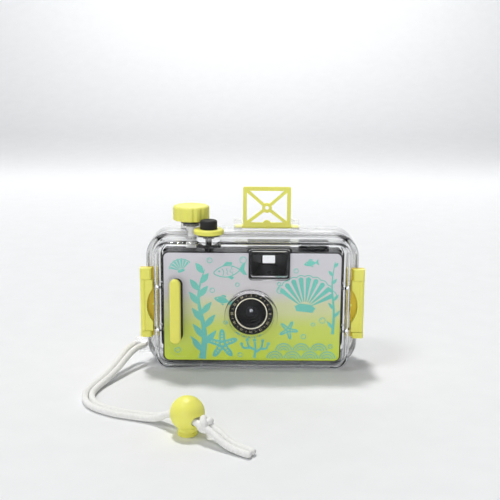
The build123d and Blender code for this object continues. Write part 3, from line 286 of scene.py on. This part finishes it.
def let_light_pass(look, facing, grazing):
    """Clear pieces let the lamps' light through: one share of it head on, another at a low angle."""
    tree = look.node_tree
    output = tree.nodes["Material Output"]
    slant = add_node(tree, "ShaderNodeLayerWeight", {"Blend": 0.5})
    share = add_node(tree, "ShaderNodeMapRange", {"Value": slant.outputs["Facing"]})
    share.inputs["To Min"].default_value = facing
    share.inputs["To Max"].default_value = grazing
    through = add_node(tree, "ShaderNodeBsdfTransparent", {"Color": share.outputs["Result"]})
    path = add_node(tree, "ShaderNodeLightPath")
    mix = add_node(tree, "ShaderNodeMixShader", {0: path.outputs["Is Shadow Ray"]})
    tree.links.new(tree.nodes["Principled BSDF"].outputs["BSDF"], mix.inputs[1])
    tree.links.new(through.outputs["BSDF"], mix.inputs[2])
    tree.links.new(mix.outputs["Shader"], output.inputs["Surface"])


# Looks
def clear_look(name, color, roughness, share, ior=1.5, wave_mm=14.0, wave_depth=0.02):
    """Clear moulded plastic: nearly smooth, with the slow waves and the fine scuffs of a moulding."""
    grazing_share = 0.12
    look = plain_look(name, Base_Color=color, Roughness=roughness, IOR=ior, Transmission_Weight=1.0,
                      Specular_Tint=(0.08, 0.08, 0.08))
    vary_roughness(look, roughness * 0.4, roughness * 1.6, 9.0)
    add_bump(look, noise(look, wave_mm, detail=1.0), wave_depth)
    let_light_pass(look, share, grazing_share)
    return look


def case_look():
    """Clear plastic that turns slightly milky in the thick rim."""
    half_blend = 0.5
    rim_clearness = 0.8
    look = clear_look("clear_case", (0.985, 0.988, 0.992), 0.05, 0.93, ior=1.25)
    tree = look.node_tree
    shader = tree.nodes["Principled BSDF"]
    shader.inputs["Specular Tint"].default_value = (0.5, 0.5, 0.5, 1.0)
    left = axis_ramp(look, "X", -RIM_SIDE + half_blend, -RIM_SIDE - half_blend)
    right = axis_ramp(look, "X", RIM_SIDE - half_blend, RIM_SIDE + half_blend)
    above = axis_ramp(look, "Z", RIM_ABOVE - half_blend, RIM_ABOVE + half_blend)
    sides = add_node(tree, "ShaderNodeMath", {0: left, 1: right}, operation="MAXIMUM")
    rim = add_node(tree, "ShaderNodeMath", {0: sides.outputs["Value"], 1: above}, operation="MAXIMUM")
    milky = add_node(tree, "ShaderNodeMapRange", {"Value": rim.outputs["Value"]})
    milky.inputs["To Min"].default_value = 1.0
    milky.inputs["To Max"].default_value = rim_clearness
    tree.links.new(milky.outputs["Result"], shader.inputs["Transmission Weight"])
    return look


def satin_look(name, first, second, low, high, skin_mm=0.35, skin_depth=0.004):
    """Satin moulded plastic with a fine skin."""
    look = plain_look(name, Base_Color=first, Roughness=low)
    vary_color(look, first, second, 18.0)
    vary_roughness(look, low, high, 6.0)
    add_bump(look, noise(look, skin_mm), skin_depth)
    return look


def lemon_look(name):
    """Lemon yellow plastic that light enters a little."""
    look = satin_look(name, (0.91, 0.88, 0.15), (0.94, 0.915, 0.18), 0.36, 0.48)
    shader = look.node_tree.nodes["Principled BSDF"]
    shader.inputs["Subsurface Weight"].default_value = 0.25
    shader.inputs["Subsurface Radius"].default_value = (1.0, 0.9, 0.2)
    shader.inputs["Subsurface Scale"].default_value = 0.8 * MM
    return look


def latch_painted_shade_look():
    """Lemon plastic with painted shade: a deeper amber tone on the thin plate behind the lever, where it lies
    in shadow.
    """
    painted_shade_amber = (0.80, 0.60, 0.03)
    look = lemon_look("latch_plastic_painted_shade")
    # Painted shade: amber mixed into the colour of every face that lies behind the front of the plate
    tint_along(look, axis_ramp(look, "Y", STRAP_PLATE - 0.3, STRAP_PLATE - 0.05), painted_shade_amber)
    return look


def rubber_look():
    """Black rubber, matte and finely grained."""
    look = satin_look("black_rubber", (0.010, 0.010, 0.011), (0.022, 0.022, 0.023), 0.55, 0.75)
    look.node_tree.nodes["Principled BSDF"].inputs["Specular IOR Level"].default_value = 0.3
    add_bump(look, noise(look, 0.12), 0.006)
    return look


def silicone_look():
    """Milky translucent silicone."""
    look = plain_look("silicone", Base_Color=(0.9, 0.91, 0.92), Roughness=0.4, Transmission_Weight=0.85,
                      IOR=1.41)
    vary_color(look, (0.86, 0.87, 0.88), (0.93, 0.94, 0.95), 3.0)
    vary_roughness(look, 0.32, 0.5, 1.5)
    let_light_pass(look, 0.8, 0.4)
    return look


def steel_look():
    """Steel with fine upright scratches."""
    look = plain_look("steel", Base_Color=(0.62, 0.62, 0.61), Metallic=1.0)
    vary_color(look, (0.52, 0.52, 0.51), (0.68, 0.68, 0.67), 0.8)
    vary_roughness(look, 0.2, 0.38, 0.4, stretch=(1, 1, 0.08))
    return look


def gold_look(name, first, second):
    """Bright pale gold, as thin trim and foil print have."""
    look = plain_look(name, Base_Color=first, Metallic=1.0)
    vary_color(look, first, second, 1.5)
    vary_roughness(look, 0.24, 0.4, 0.5)
    return look


def panel_look():
    """Printed sheet: pale lilac grey that fades to lime below, under a thin varnish."""
    dot_share = 0.05
    look = plain_look("printed_sheet", Roughness=0.4, Coat_Weight=0.12, Coat_Roughness=0.1)
    look.node_tree.nodes["Principled BSDF"].inputs["Specular IOR Level"].default_value = 0.2
    tree = look.node_tree
    fade = add_node(tree, "ShaderNodeValToRGB", {"Fac": axis_ramp(look, "Z", PANEL_LOW, PANEL_HIGH)})
    stops = [
        (0.0, (0.48, 0.59, 0.052)), (0.28, (0.505, 0.59, 0.105)), (0.50, (0.54, 0.56, 0.31)),
        (0.66, (0.54, 0.52, 0.53)), (1.0, (0.51, 0.50, 0.53)),
    ]
    ramp = fade.color_ramp
    ramp.interpolation = "EASE"
    for index, (position, color) in enumerate(stops):
        stop = ramp.elements[index] if index < 2 else ramp.elements.new(position)
        stop.position = position
        stop.color = (*color, 1)
    dots = add_node(tree, "ShaderNodeMixRGB", {"Fac": dot_share, "Color1": fade.outputs["Color"]})
    dots.blend_type = "MULTIPLY"
    tree.links.new(noise(look, 0.25), dots.inputs["Color2"])
    tree.links.new(dots.outputs["Color"], tree.nodes["Principled BSDF"].inputs["Base Color"])
    vary_roughness(look, 0.32, 0.5, 2.0)
    return look


def ink_look():
    """Teal print, a little deeper towards the bottom, with the faint mottling of ink."""
    look = satin_look("teal_ink", (0.13, 0.46, 0.38), (0.16, 0.49, 0.41), 0.35, 0.5, skin_mm=0.2)
    look.node_tree.nodes["Principled BSDF"].inputs["Specular IOR Level"].default_value = 0.2
    tint_along(look, axis_ramp(look, "Z", 45.0, 8.0), (0.12, 0.42, 0.38))
    return look


def cord_look():
    """White braided polyester: matte, with a soft sheen and fine filaments."""
    look = plain_look("white_cord", Base_Color=(0.9, 0.9, 0.88), Roughness=0.8, Sheen_Weight=0.4)
    vary_color(look, (0.86, 0.86, 0.835), (0.93, 0.93, 0.915), 1.2)
    add_bump(look, noise(look, 0.1), 0.03)
    return look


def dark_look(name, roughness):
    """Black moulded plastic."""
    look = satin_look(name, (0.006, 0.006, 0.007), (0.012, 0.012, 0.013), roughness, roughness + 0.14)
    look.node_tree.nodes["Principled BSDF"].inputs["Specular IOR Level"].default_value = 0.15
    return look


def grooved_look():
    """Black plastic with fine rings turned round the lens axis."""
    groove_pitch = 0.45
    groove_depth = 0.06
    look = dark_look("grooved_black", 0.3)
    tree = look.node_tree
    place = add_node(tree, "ShaderNodeTexCoord")
    centred = add_node(tree, "ShaderNodeVectorMath", {0: place.outputs["Object"]}, operation="SUBTRACT")
    centred.inputs[1].default_value = (LENS[0] * MM, 0, LENS[1] * MM)
    flat = add_node(tree, "ShaderNodeVectorMath", {0: centred.outputs["Vector"]}, operation="MULTIPLY")
    flat.inputs[1].default_value = (1, 0, 1)
    radius = add_node(tree, "ShaderNodeVectorMath", {0: flat.outputs["Vector"]}, operation="LENGTH")
    turns = add_node(tree, "ShaderNodeMath", {0: radius.outputs["Value"]}, operation="MULTIPLY")
    turns.inputs[1].default_value = 2 * pi / (groove_pitch * MM)
    wave = add_node(tree, "ShaderNodeMath", {0: turns.outputs["Value"]}, operation="SINE")
    add_bump(look, wave.outputs["Value"], groove_depth)
    return look


looks = {
    "clear_case": case_look(),
    "clear_window": clear_look("clear_window", (0.97, 0.975, 0.98), 0.03, 0.92, ior=1.49),
    "lens_glass": clear_look("lens_glass", (0.92, 0.94, 1.0), 0.01, 0.9, ior=1.6, wave_depth=0.0),
    "yellow_plastic": lemon_look("lemon_plastic"),
    "black_rubber": rubber_look(),
    "seal_silicone": silicone_look(),
    "black_plastic": dark_look("black_plastic", 0.26),
    "black_plate": dark_look("black_plate", 0.4),
    "printed_panel": panel_look(),
    "bright_trim": gold_look("pale_gold", (0.86, 0.81, 0.62), (0.92, 0.88, 0.74)),
    "steel": steel_look(),
    "dial_white": satin_look("dial_white", (0.80, 0.80, 0.78), (0.84, 0.84, 0.82), 0.45, 0.6),
    "white_cord": cord_look(),
}
# Lemon plastic with painted shade on the plate behind the lever
latch_plastic_painted_shade = latch_painted_shade_look()
grooved_black = grooved_look()
teal_ink = ink_look()
foil_print = satin_look("foil_print", (0.42, 0.37, 0.20), (0.50, 0.45, 0.27), 0.4, 0.5)
floor_look = satin_look("studio_paper", (0.80, 0.81, 0.82), (0.815, 0.825, 0.835), 0.6, 0.75, skin_mm=2.0)


def dress_nodes():
    """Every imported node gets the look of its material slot, and a few get one of their own."""
    own = {
        # The latch clips get the lemon look with painted shade behind the lever
        "latch_clip_left": latch_plastic_painted_shade, "latch_clip_right": latch_plastic_painted_shade,
        "lens_funnel": grooved_black,
    }
    for row in frame["record"]["subparts"]:
        target = nodes[row["node"]]
        target.data.materials.clear()
        target.data.materials.append(own.get(row["node"], looks[row["material_slot"]]))


# Seal between the two halves of the case
def rounded_path(width, height, corner, middle_z, steps=10):
    """Points and outward directions round a rectangle with round corners, seen from the front."""
    line = []
    for quarter, (side_x, side_z) in enumerate(((1, 1), (-1, 1), (-1, -1), (1, -1))):
        centre = (side_x * (width / 2 - corner), middle_z + side_z * (height / 2 - corner))
        for step in range(steps + 1):
            turn = pi / 2 * (quarter + step / steps)
            out = (cos(turn), sin(turn))
            line.append(((centre[0] + corner * out[0], centre[1] + corner * out[1]), out))
    return line


def add_seal():
    """Round silicone bead in the seal's groove."""
    wide, deep, segments = 0.8, 0.7, 14
    path = rounded_path(CASE_WIDTH - 2 * SEAL_MIDDLE, CASE_HEIGHT - 2 * SEAL_MIDDLE,
                        CASE_CORNER - SEAL_MIDDLE, CASE_HEIGHT / 2)
    vertices = []
    faces = []
    for (x, z), (out_x, out_z) in path:
        for step in range(segments):
            around = 2 * pi * step / segments
            reach = wide * cos(around)
            vertices.append((x + out_x * reach, SEAL_DEPTH + deep * sin(around), z + out_z * reach))
    for ring in range(len(path)):
        ahead = (ring + 1) % len(path)
        for step in range(segments):
            beside = (step + 1) % segments
            faces.append((ring * segments + step, ring * segments + beside,
                          ahead * segments + beside, ahead * segments + step))
    bead = mesh_object("seal_bead", vertices, faces)
    bead.data.materials.append(looks["seal_silicone"])
    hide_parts("seal_ring")
    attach(bead, "cover")


# Print on the panel: thin closed plates of ink, drawn as seen from the front
class Print:
    """Gathers plates into one mesh; those that overlap differ a little in thickness."""
    thick_step = 0.0015
    thick_steps = 16

    def __init__(self, front, thick=0.04):
        self.front = front
        self.thick = thick
        self.drawn = 0
        self.vertices = []
        self.faces = []

    def add_loops(self, loops, fronts):
        """Plate from its outlines and the faces that fill them."""
        start = len(self.vertices)
        flat = [point for loop in loops for point in loop]
        count = len(flat)
        self.drawn += 1
        face = self.front - self.thick - self.thick_step * (self.drawn % self.thick_steps)
        self.vertices += [(x, face, z) for x, z in flat]
        self.vertices += [(x, self.front, z) for x, z in flat]
        for corners in fronts:
            self.faces.append(tuple(start + index for index in corners))
            self.faces.append(tuple(start + count + index for index in reversed(corners)))
        first = start
        for loop in loops:
            size = len(loop)
            for index in range(size):
                here = first + index
                ahead = first + (index + 1) % size
                self.faces.append((here, ahead, ahead + count, here + count))
            first += size

    def plate(self, *loops):
        """Filled shape; the first outline is its edge, the others are holes."""
        outlines = [[Vector((x, z, 0)) for x, z in loop] for loop in loops]
        self.add_loops(loops, tessellate_polygon(outlines))

    def line(self, points, width, closed=False, end_width=None):
        """Stroke along points, of one width or running to another."""
        count = len(points)
        last = width if end_width is None else end_width
        left = []
        right = []
        for index, (x, z) in enumerate(points):
            before = points[index - 1] if closed or index else points[0]
            after = points[(index + 1) % count] if closed or index < count - 1 else points[-1]
            run_x, run_z = after[0] - before[0], after[1] - before[1]
            length = hypot(run_x, run_z)
            half = (width + (last - width) * index / (count - 1)) / 2
            left.append((x - run_z / length * half, z + run_x / length * half))
            right.append((x + run_z / length * half, z - run_x / length * half))
        if closed:
            quads = [(i, (i + 1) % count, count + (i + 1) % count, count + i) for i in range(count)]
            self.add_loops([left, right], quads)
        else:
            turn = 2 * count - 1
            quads = [(i, i + 1, turn - i - 1, turn - i) for i in range(count - 1)]
            self.add_loops([left + right[::-1]], quads)

    def finish(self, name, look):
        """The gathered plates as one piece that rides on the case."""
        made = mesh_object(name, self.vertices, self.faces, smooth=False)
        edit = bmesh.new()
        edit.from_mesh(made.data)
        bmesh.ops.recalc_face_normals(edit, faces=edit.faces)
        edit.to_mesh(made.data)
        edit.free()
        made.data.materials.append(look)
        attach(made, "case")


def circle(x, z, radius, steps=28):
    """Points round a circle."""
    turns = [2 * pi * step / steps for step in range(steps)]
    return [(x + radius * cos(turn), z + radius * sin(turn)) for turn in turns]


def arc(x, z, radius, start, end, steps=12):
    """Points along an arc, with its angles in degrees."""
    turns = [radians(start + (end - start) * step / steps) for step in range(steps + 1)]
    return [(x + radius * cos(turn), z + radius * sin(turn)) for turn in turns]


def between(p, q, r, s, t):
    """Place on a smooth curve between q and r, whose neighbours are p and s."""
    return 0.5 * (2 * q + (r - p) * t + (2 * p - 5 * q + 4 * r - s) * t**2 + (3 * q - p - 3 * r + s) * t**3)


def smooth_line(points, closed=False, steps=7):
    """Smooth line through points."""
    count = len(points)
    line = []
    for index in range(count if closed else count - 1):
        near = [index + shift for shift in (-1, 0, 1, 2)]
        if closed:
            a, b, c, d = (points[place % count] for place in near)
        else:
            a, b, c, d = (points[min(max(place, 0), count - 1)] for place in near)
        for step in range(steps):
            t = step / steps
            line.append(tuple(between(*values, t) for values in zip(a, b, c, d)))
    if not closed:
        line.append(points[-1])
    return line


def placed(points, x, z, turn=0.0, size=1.0):
    """Points turned, scaled and moved to their place."""
    c, s = cos(radians(turn)) * size, sin(radians(turn)) * size
    return [(x + px * c - pz * s, z + px * s + pz * c) for px, pz in points]


def draw_leaf(ink, x, z, turn, length, width):
    """Filled leaf with a pointed tip."""
    half = width / 2
    shape = [(0, 0), (length * 0.25, half * 0.85), (length * 0.55, half), (length * 0.85, half * 0.45),
             (length, 0), (length * 0.85, -half * 0.5), (length * 0.55, -half), (length * 0.25, -half * 0.75)]
    ink.plate(placed(smooth_line(shape, closed=True, steps=4), x, z, turn))


def draw_kelp(ink, x, low, high, sway, leaves, length, thick):
    """Tall weed: a waving stem that thins upwards, with leaves on both sides."""
    count = 26
    waves = 1.1
    tip_width = 0.5
    right_turn, left_turn = 52, 128
    stem = []
    for step in range(count + 1):
        share = step / count
        swing = sway * sin(2 * waves * pi * share) * (0.4 + 0.6 * share)
        stem.append((x + swing, low + (high - low) * share))
    ink.line(stem, thick, end_width=tip_width)
    for number in range(leaves):
        share = (number + 0.8) / (leaves + 0.4)
        here = stem[round(share * count)]
        turn = right_turn if number % 2 else left_turn
        draw_leaf(ink, *here, turn, length * (1.05 - 0.45 * share), length * 0.3)


def draw_starfish(ink, x, z, radius, turn):
    """Five round arms with a row of dots left open along each."""
    arms = 5
    notch = 0.36
    steps = 60
    middle_dot = 0.09
    arm_dots = ((0.32, 0.07), (0.52, 0.055), (0.70, 0.04))
    edge = []
    for step in range(steps):
        angle = 2 * pi * step / steps
        reach = radius * (notch + (1 - notch) * ((1 + cos(arms * angle)) / 2) ** 1.3)
        edge.append((reach * cos(angle), reach * sin(angle)))
    holes = [circle(x, z, radius * middle_dot, 10)]
    for arm in range(arms):
        angle = radians(turn + 360 / arms * arm)
        for share, size in arm_dots:
            place = (x + radius * share * cos(angle), z + radius * share * sin(angle))
            holes.append(circle(*place, radius * size, 10))
    ink.plate(placed(edge, x, z, turn), *holes)


def draw_shell(ink, x, z, radius, turn, ribs=9):
    """Fan shell: ribs spread from a hinge, with a scalloped line round them."""
    spread = 128
    rib_share = 0.66
    root_reach = 0.24
    rim_reach, scallop = 1.06, 0.045
    rim_width = 0.55
    rim_steps = 8
    rib_angle = spread / ribs
    for rib in range(ribs):
        middle = 90 + (rib - (ribs - 1) / 2) * rib_angle
        half = rib_angle * rib_share / 2
        outer = radius * (0.92 + 0.08 * cos(radians(middle - 90)))
        tip = arc(0, 0, outer, middle - half, middle + half, 6)
        bulge = [(px * (1 + 0.05 * sin(pi * i / 6)), pz * (1 + 0.05 * sin(pi * i / 6)))
                 for i, (px, pz) in enumerate(tip)]
        root = arc(0, 0, radius * root_reach, middle + half * 0.8, middle - half * 0.8, 2)
        ink.plate(placed(bulge + root, x, z, turn))
    rim = []
    for step in range(ribs * rim_steps + 1):
        angle = 90 + spread / 2 * (2 * step / (ribs * rim_steps) - 1)
        reach = radius * (rim_reach + scallop * abs(sin(pi * step / rim_steps)))
        rim.append((reach * cos(radians(angle)), reach * sin(radians(angle))))
    ink.line(placed(rim, x, z, turn), rim_width)
    hinge = [(-0.26, -0.10), (0.26, -0.10), (0.34, 0.06), (0.16, 0.16), (-0.16, 0.16), (-0.34, 0.06)]
    ink.plate(placed(hinge, x, z, turn, radius))


def draw_fish(ink, x, z, size, turn, filled):
    """Plain fish that swims to the left, filled or in outline, with its turn in degrees."""
    edge_width, gill_width, scale_width = 0.6, 0.5, 0.4
    scales = ((0.12, -0.02), (-0.12, -0.02), (0.0, 0.2), (0.18, 0.32), (-0.17, 0.32))
    body = smooth_line([(-1.0, 0.0), (-0.7, 0.26), (-0.2, 0.42), (0.3, 0.32), (0.72, 0.07),
                        (0.72, -0.07), (0.3, -0.30), (-0.2, -0.38), (-0.7, -0.24)], closed=True, steps=5)
    tail = [(0.70, 0.0), (0.98, 0.36), (1.22, 0.44), (1.08, 0.0), (1.22, -0.44), (0.98, -0.36)]
    top_fin = [(-0.35, 0.44), (-0.05, 0.68), (0.34, 0.60), (0.30, 0.40), (0.0, 0.46)]
    low_fin = [(-0.1, -0.42), (0.16, -0.62), (0.32, -0.50), (0.22, -0.38)]
    eye = circle(-0.62, 0.08, 0.075, 12)
    if filled:
        ink.plate(placed(body, x, z, turn, size), placed(eye, x, z, turn, size))
    else:
        ink.line(placed(body, x, z, turn, size), edge_width, closed=True)
        ink.plate(placed(eye, x, z, turn, size))
        gill = arc(-0.62, 0.0, 0.30, -52, 52, 8)
        ink.line(placed(gill, x, z, turn, size), gill_width)
        for row, column in scales:
            scale = arc(column, row, 0.1, 100, 260, 6)
            ink.line(placed(scale, x, z, turn, size), scale_width)
    for fin in (tail, top_fin, low_fin):
        ink.plate(placed(fin, x, z, turn, size))


def draw_waves(ink, left, low, radius, columns, rows):
    """Rows of nested half rings, each row shifted by half a ring."""
    rings = (0.92, 0.62, 0.32)
    row_step = 0.95
    stroke = 0.13
    for row in range(rows):
        shift = radius * (row % 2)
        for column in range(columns - row % 2):
            x = left + shift + radius * (2 * column + 1)
            for share in rings:
                half_ring = arc(x, low + row * radius * row_step, radius * share, 8, 172, 16)
                ink.line(half_ring, radius * stroke)


def draw_coral(ink, x, z, size):
    """Branching weed with round tips."""
    root_width, tip_width, tip = 0.13, 0.10, 0.085
    branches = (((0, 0), (0.05, 0.5), (0.0, 1.0)), ((0.03, 0.3), (0.35, 0.55), (0.42, 0.95)),
                ((0.02, 0.45), (-0.3, 0.65), (-0.36, 1.02)), ((0.28, 0.5), (0.6, 0.52), (0.72, 0.78)),
                ((-0.2, 0.56), (-0.55, 0.55), (-0.66, 0.76)))
    for branch in branches:
        line = placed(smooth_line(branch, steps=6), x, z, 0, size)
        ink.line(line, size * root_width, end_width=size * tip_width)
        ink.plate(circle(*line[-1], size * tip, 14))


def draw_bubble(ink, x, z, radius):
    """Thin ring with a short gleam inside it."""
    ring_width, gleam_width = 0.45, 0.35
    ink.line(circle(x, z, radius, 22), ring_width, closed=True)
    ink.line(arc(x, z, radius * 0.55, 100, 170, 5), gleam_width)


def add_print():
    """Sea motifs in teal over the whole panel."""
    ink = Print(PANEL_FACE)
    draw_kelp(ink, -29.5, 6.4, 61.0, 2.6, 11, 12.0, 4.2)
    draw_kelp(ink, 47.6, 22.0, 66.0, 1.1, 8, 6.0, 1.8)
    draw_shell(ink, 31.0, 37.5, 18.5, -6)
    draw_shell(ink, -41.5, 60.0, 6.6, 18, ribs=7)
    draw_starfish(ink, -17.5, 15.5, 9.5, 20)
    draw_starfish(ink, 21.5, 24.5, 6.0, 65)
    draw_fish(ink, -14.0, 60.0, 8.6, 8, filled=False)
    draw_fish(ink, -17.5, 42.5, 5.0, -14, filled=True)
    draw_fish(ink, 34.0, 65.0, 4.0, 10, filled=True)
    draw_waves(ink, 8.5, 6.3, 5.2, 4, 2)
    draw_coral(ink, 1.5, 7.0, 11.5)
    for x, z, radius in ((-25.0, 66.5, 1.5), (-5.5, 66.8, 1.9), (-8.8, 52.0, 1.1), (-23.5, 48.5, 1.4),
                         (-15.6, 29.0, 1.2), (-7.0, 9.0, 1.3), (-44.0, 12.0, 1.6), (16.2, 48.5, 1.7),
                         (15.6, 52.6, 1.0), (25.5, 60.5, 1.3), (41.5, 30.5, 1.7), (36.0, 28.0, 1.0),
                         (30.5, 20.5, 1.4), (46.5, 14.5, 1.2)):
        draw_bubble(ink, x, z, radius)
    ink.finish("panel_print", teal_ink)


def number_plates(text, size):
    """Number as a closed plate about its middle: points in millimetres, and faces."""
    merge_distance = 0.0005
    data = bpy.data.curves.new("number", "FONT")
    data.body = text
    data.size = size * MM
    data.align_x = "CENTER"
    data.align_y = "CENTER"
    data.extrude = NUMBER_HALF_THICK * MM
    data.resolution_u = 3
    holder = bpy.data.objects.new("number", data)
    bpy.context.scene.collection.objects.link(holder)
    depsgraph = bpy.context.evaluated_depsgraph_get()
    mesh = bpy.data.meshes.new_from_object(holder.evaluated_get(depsgraph))
    edit = bmesh.new()
    edit.from_mesh(mesh)
    bmesh.ops.remove_doubles(edit, verts=edit.verts, dist=merge_distance * MM)
    edit.to_mesh(mesh)
    edit.free()
    points = [v.co / MM for v in mesh.vertices]
    faces = [tuple(face.vertices) for face in mesh.polygons]
    bpy.data.objects.remove(holder)
    bpy.data.meshes.remove(mesh)
    return points, faces


def add_ring_scale():
    """Plain numbers and marks in gold foil round the lens ring."""
    foil = Print(RING_FACE, thick=2 * NUMBER_HALF_THICK)
    numbers = 12
    number_size = 1.9
    mark_length, mark_width = 1.0, 0.2
    for step in range(numbers):
        angle = 360 * (step + 0.5) / numbers
        reaches = (RING_MIDDLE - mark_length / 2, RING_MIDDLE + mark_length / 2)
        foil.line([arc(*LENS, reach, angle, angle, 1)[0] for reach in reaches], mark_width)
    for step in range(numbers):
        points, faces = number_plates(str(2 * step + 2), number_size)
        turn = -360 * step / numbers
        start = len(foil.vertices)
        middle = arc(*LENS, RING_MIDDLE, 90 + turn, 90 + turn, 1)[0]
        for (x, z), point in zip(placed([(p.x, p.y) for p in points], *middle, turn), points):
            foil.vertices.append((x, RING_FACE - NUMBER_HALF_THICK - point.z, z))
        foil.faces += [tuple(start + index for index in face) for face in faces]
    foil.finish("ring_scale", foil_print)


# Strap and springs
def route_points(points, steps=12):
    """Points along the smooth line that a route's points control."""
    data = bpy.data.curves.new("route", "CURVE")
    data.dimensions = "3D"
    data.resolution_u = steps
    line = data.splines.new("NURBS")
    line.points.add(len(points) - 1)
    for control, point in zip(line.points, points):
        control.co = (*(Vector(point) * MM), 1)
    line.order_u = 3
    line.use_endpoint_u = True
    holder = bpy.data.objects.new("route", data)
    bpy.context.scene.collection.objects.link(holder)
    depsgraph = bpy.context.evaluated_depsgraph_get()
    mesh = bpy.data.meshes.new_from_object(holder.evaluated_get(depsgraph))
    found = [v.co / MM for v in mesh.vertices]
    bpy.data.objects.remove(holder)
    bpy.data.meshes.remove(mesh)
    return found


def spaced(points, step):
    """The same line with evenly spaced points."""
    lengths = [0.0]
    for before, after in zip(points, points[1:]):
        lengths.append(lengths[-1] + (after - before).length)
    count = max(2, round(lengths[-1] / step))
    result = []
    index = 0
    for number in range(count + 1):
        wanted = lengths[-1] * number / count
        while index < len(points) - 2 and lengths[index + 1] < wanted:
            index += 1
        share = (wanted - lengths[index]) / (lengths[index + 1] - lengths[index])
        result.append(points[index].lerp(points[index + 1], min(share, 1.0)))
    return result


def braid_height(around, along, strands, pitch):
    """Relief of two crossing families of yarns, from 0 in the gaps to 1 on top of a yarn."""
    under = 0.55
    roundness = 0.6
    right = strands * around / (2 * pi) + along / pitch
    left = strands * around / (2 * pi) - along / pitch
    over = (floor(right) + floor(left)) % 2
    first = abs(sin(pi * right)) ** roundness
    second = abs(sin(pi * left)) ** roundness
    return max(first, under * second) if over else max(second, under * first)


def braided_tube(name, line, radius, relief=0.16, strands=8, pitch=1.7, segments=48, tapered=False):
    """Closed tube along evenly spaced points, with a braid's relief where relief isn't 0."""
    end_share = 0.72
    end_rings = 4
    side = Vector((0, 0, 1)).cross(line[1] - line[0]).normalized()
    vertices = []
    faces = []
    along = 0.0
    last = len(line) - 1
    for index, here in enumerate(line):
        ahead = line[min(index + 1, last)] - line[max(index - 1, 0)]
        ahead.normalize()
        side = (side - ahead * side.dot(ahead)).normalized()
        up = ahead.cross(side)
        if index:
            along += (here - line[index - 1]).length
        from_end = min(index, last - index) / end_rings
        full = min(1.0, end_share + (1 - end_share) * from_end) if tapered else 1.0
        for step in range(segments):
            around = 2 * pi * step / segments
            height = braid_height(around, along, strands, pitch)
            r = full * radius * (1 - relief + relief * height)
            vertices.append(here + side * (r * cos(around)) + up * (r * sin(around)))
    for ring in range(last):
        for step in range(segments):
            a = ring * segments + step
            b = ring * segments + (step + 1) % segments
            faces.append((a, b, b + segments, a + segments))
    faces.append(tuple(reversed(range(segments))))
    faces.append(tuple(range(last * segments, (last + 1) * segments)))
    return mesh_object(name, vertices, faces)


def add_strand(name, points):
    """One strand of the doubled strap: its mesh, its path in metres, and its length."""
    ring_gap = 0.25
    even = spaced(route_points(points), ring_gap)
    tube = braided_tube(f"{name}_braid", even, CORD_R, tapered=True)
    length = sum((b - a).length for a, b in zip(even, even[1:]))
    tube.data.materials.append(looks["white_cord"])
    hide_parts(name)
    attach(tube, "case")
    return tube, [p * MM for p in even], length * MM


def add_knot():
    """Overhand knot: a braided cord wound through itself round the two strands."""
    middle_swing, swing_change, depth = 1.95, 0.9, 1.8
    cord_radius, ring_gap = 1.75, 0.3
    before, after = (Vector(STRAND_A[place]) for place in ROUTE_AT_KNOT)
    through = (after - before).normalized()
    side = Vector((0, 0, 1)).cross(through).normalized()
    up = through.cross(side)
    count = 150
    line = []
    for number in range(count):
        turn = 2 * pi * number / count
        swing = middle_swing + swing_change * cos(3 * turn)
        x = swing * cos(2 * turn)
        y = swing * sin(2 * turn)
        z = depth * sin(3 * turn)
        line.append(Vector(KNOT) + side * x + up * y + through * z)
    line.append(line[0].copy())
    knot = braided_tube("strap_knot_braid", spaced(line, ring_gap), cord_radius, segments=32)
    knot.data.materials.append(looks["white_cord"])
    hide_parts("strap_knot")
    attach(knot, "case")
    return knot


def add_spring(node, wire_r, turns):
    """Coil of steel wire that fills a packed spring's place from end to end."""
    steps_per_turn = 40
    low, high = (Vector(corner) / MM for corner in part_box(node))
    middle = (low + high) / 2
    radius = (high.x - low.x) / 2 - wire_r
    line = []
    count = round(turns * steps_per_turn)
    for number in range(count + 1):
        turn = 2 * pi * turns * number / count
        z = low.z + wire_r + (high.z - low.z - 2 * wire_r) * number / count
        line.append(Vector((middle.x + radius * cos(turn), middle.y + radius * sin(turn), z)))
    coil = braided_tube(f"{node}_coil", line, wire_r, relief=0.0, segments=14)
    coil.data.materials.append(looks["steel"])
    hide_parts(node)
    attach(coil, "case")
    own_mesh(coil)
    return coil


def add_strap():
    """Two strands through a ball stopper, with a knot that keeps it on."""
    strand_a, path_a, length_a = add_strand("strap_strand_a", STRAND_A)
    strand_b, path_b, length_b = add_strand("strap_strand_b", STRAND_B)
    knot = add_knot()
    spring = add_spring("stopper_spring", 0.25, 2.5)


add_camera()
add_floor(floor_look)
set_up_world()
set_up_light()
dress_nodes()
add_seal()
add_print()
add_ring_scale()
add_strap()
add_spring("shutter_spring", 0.3, 4.5)
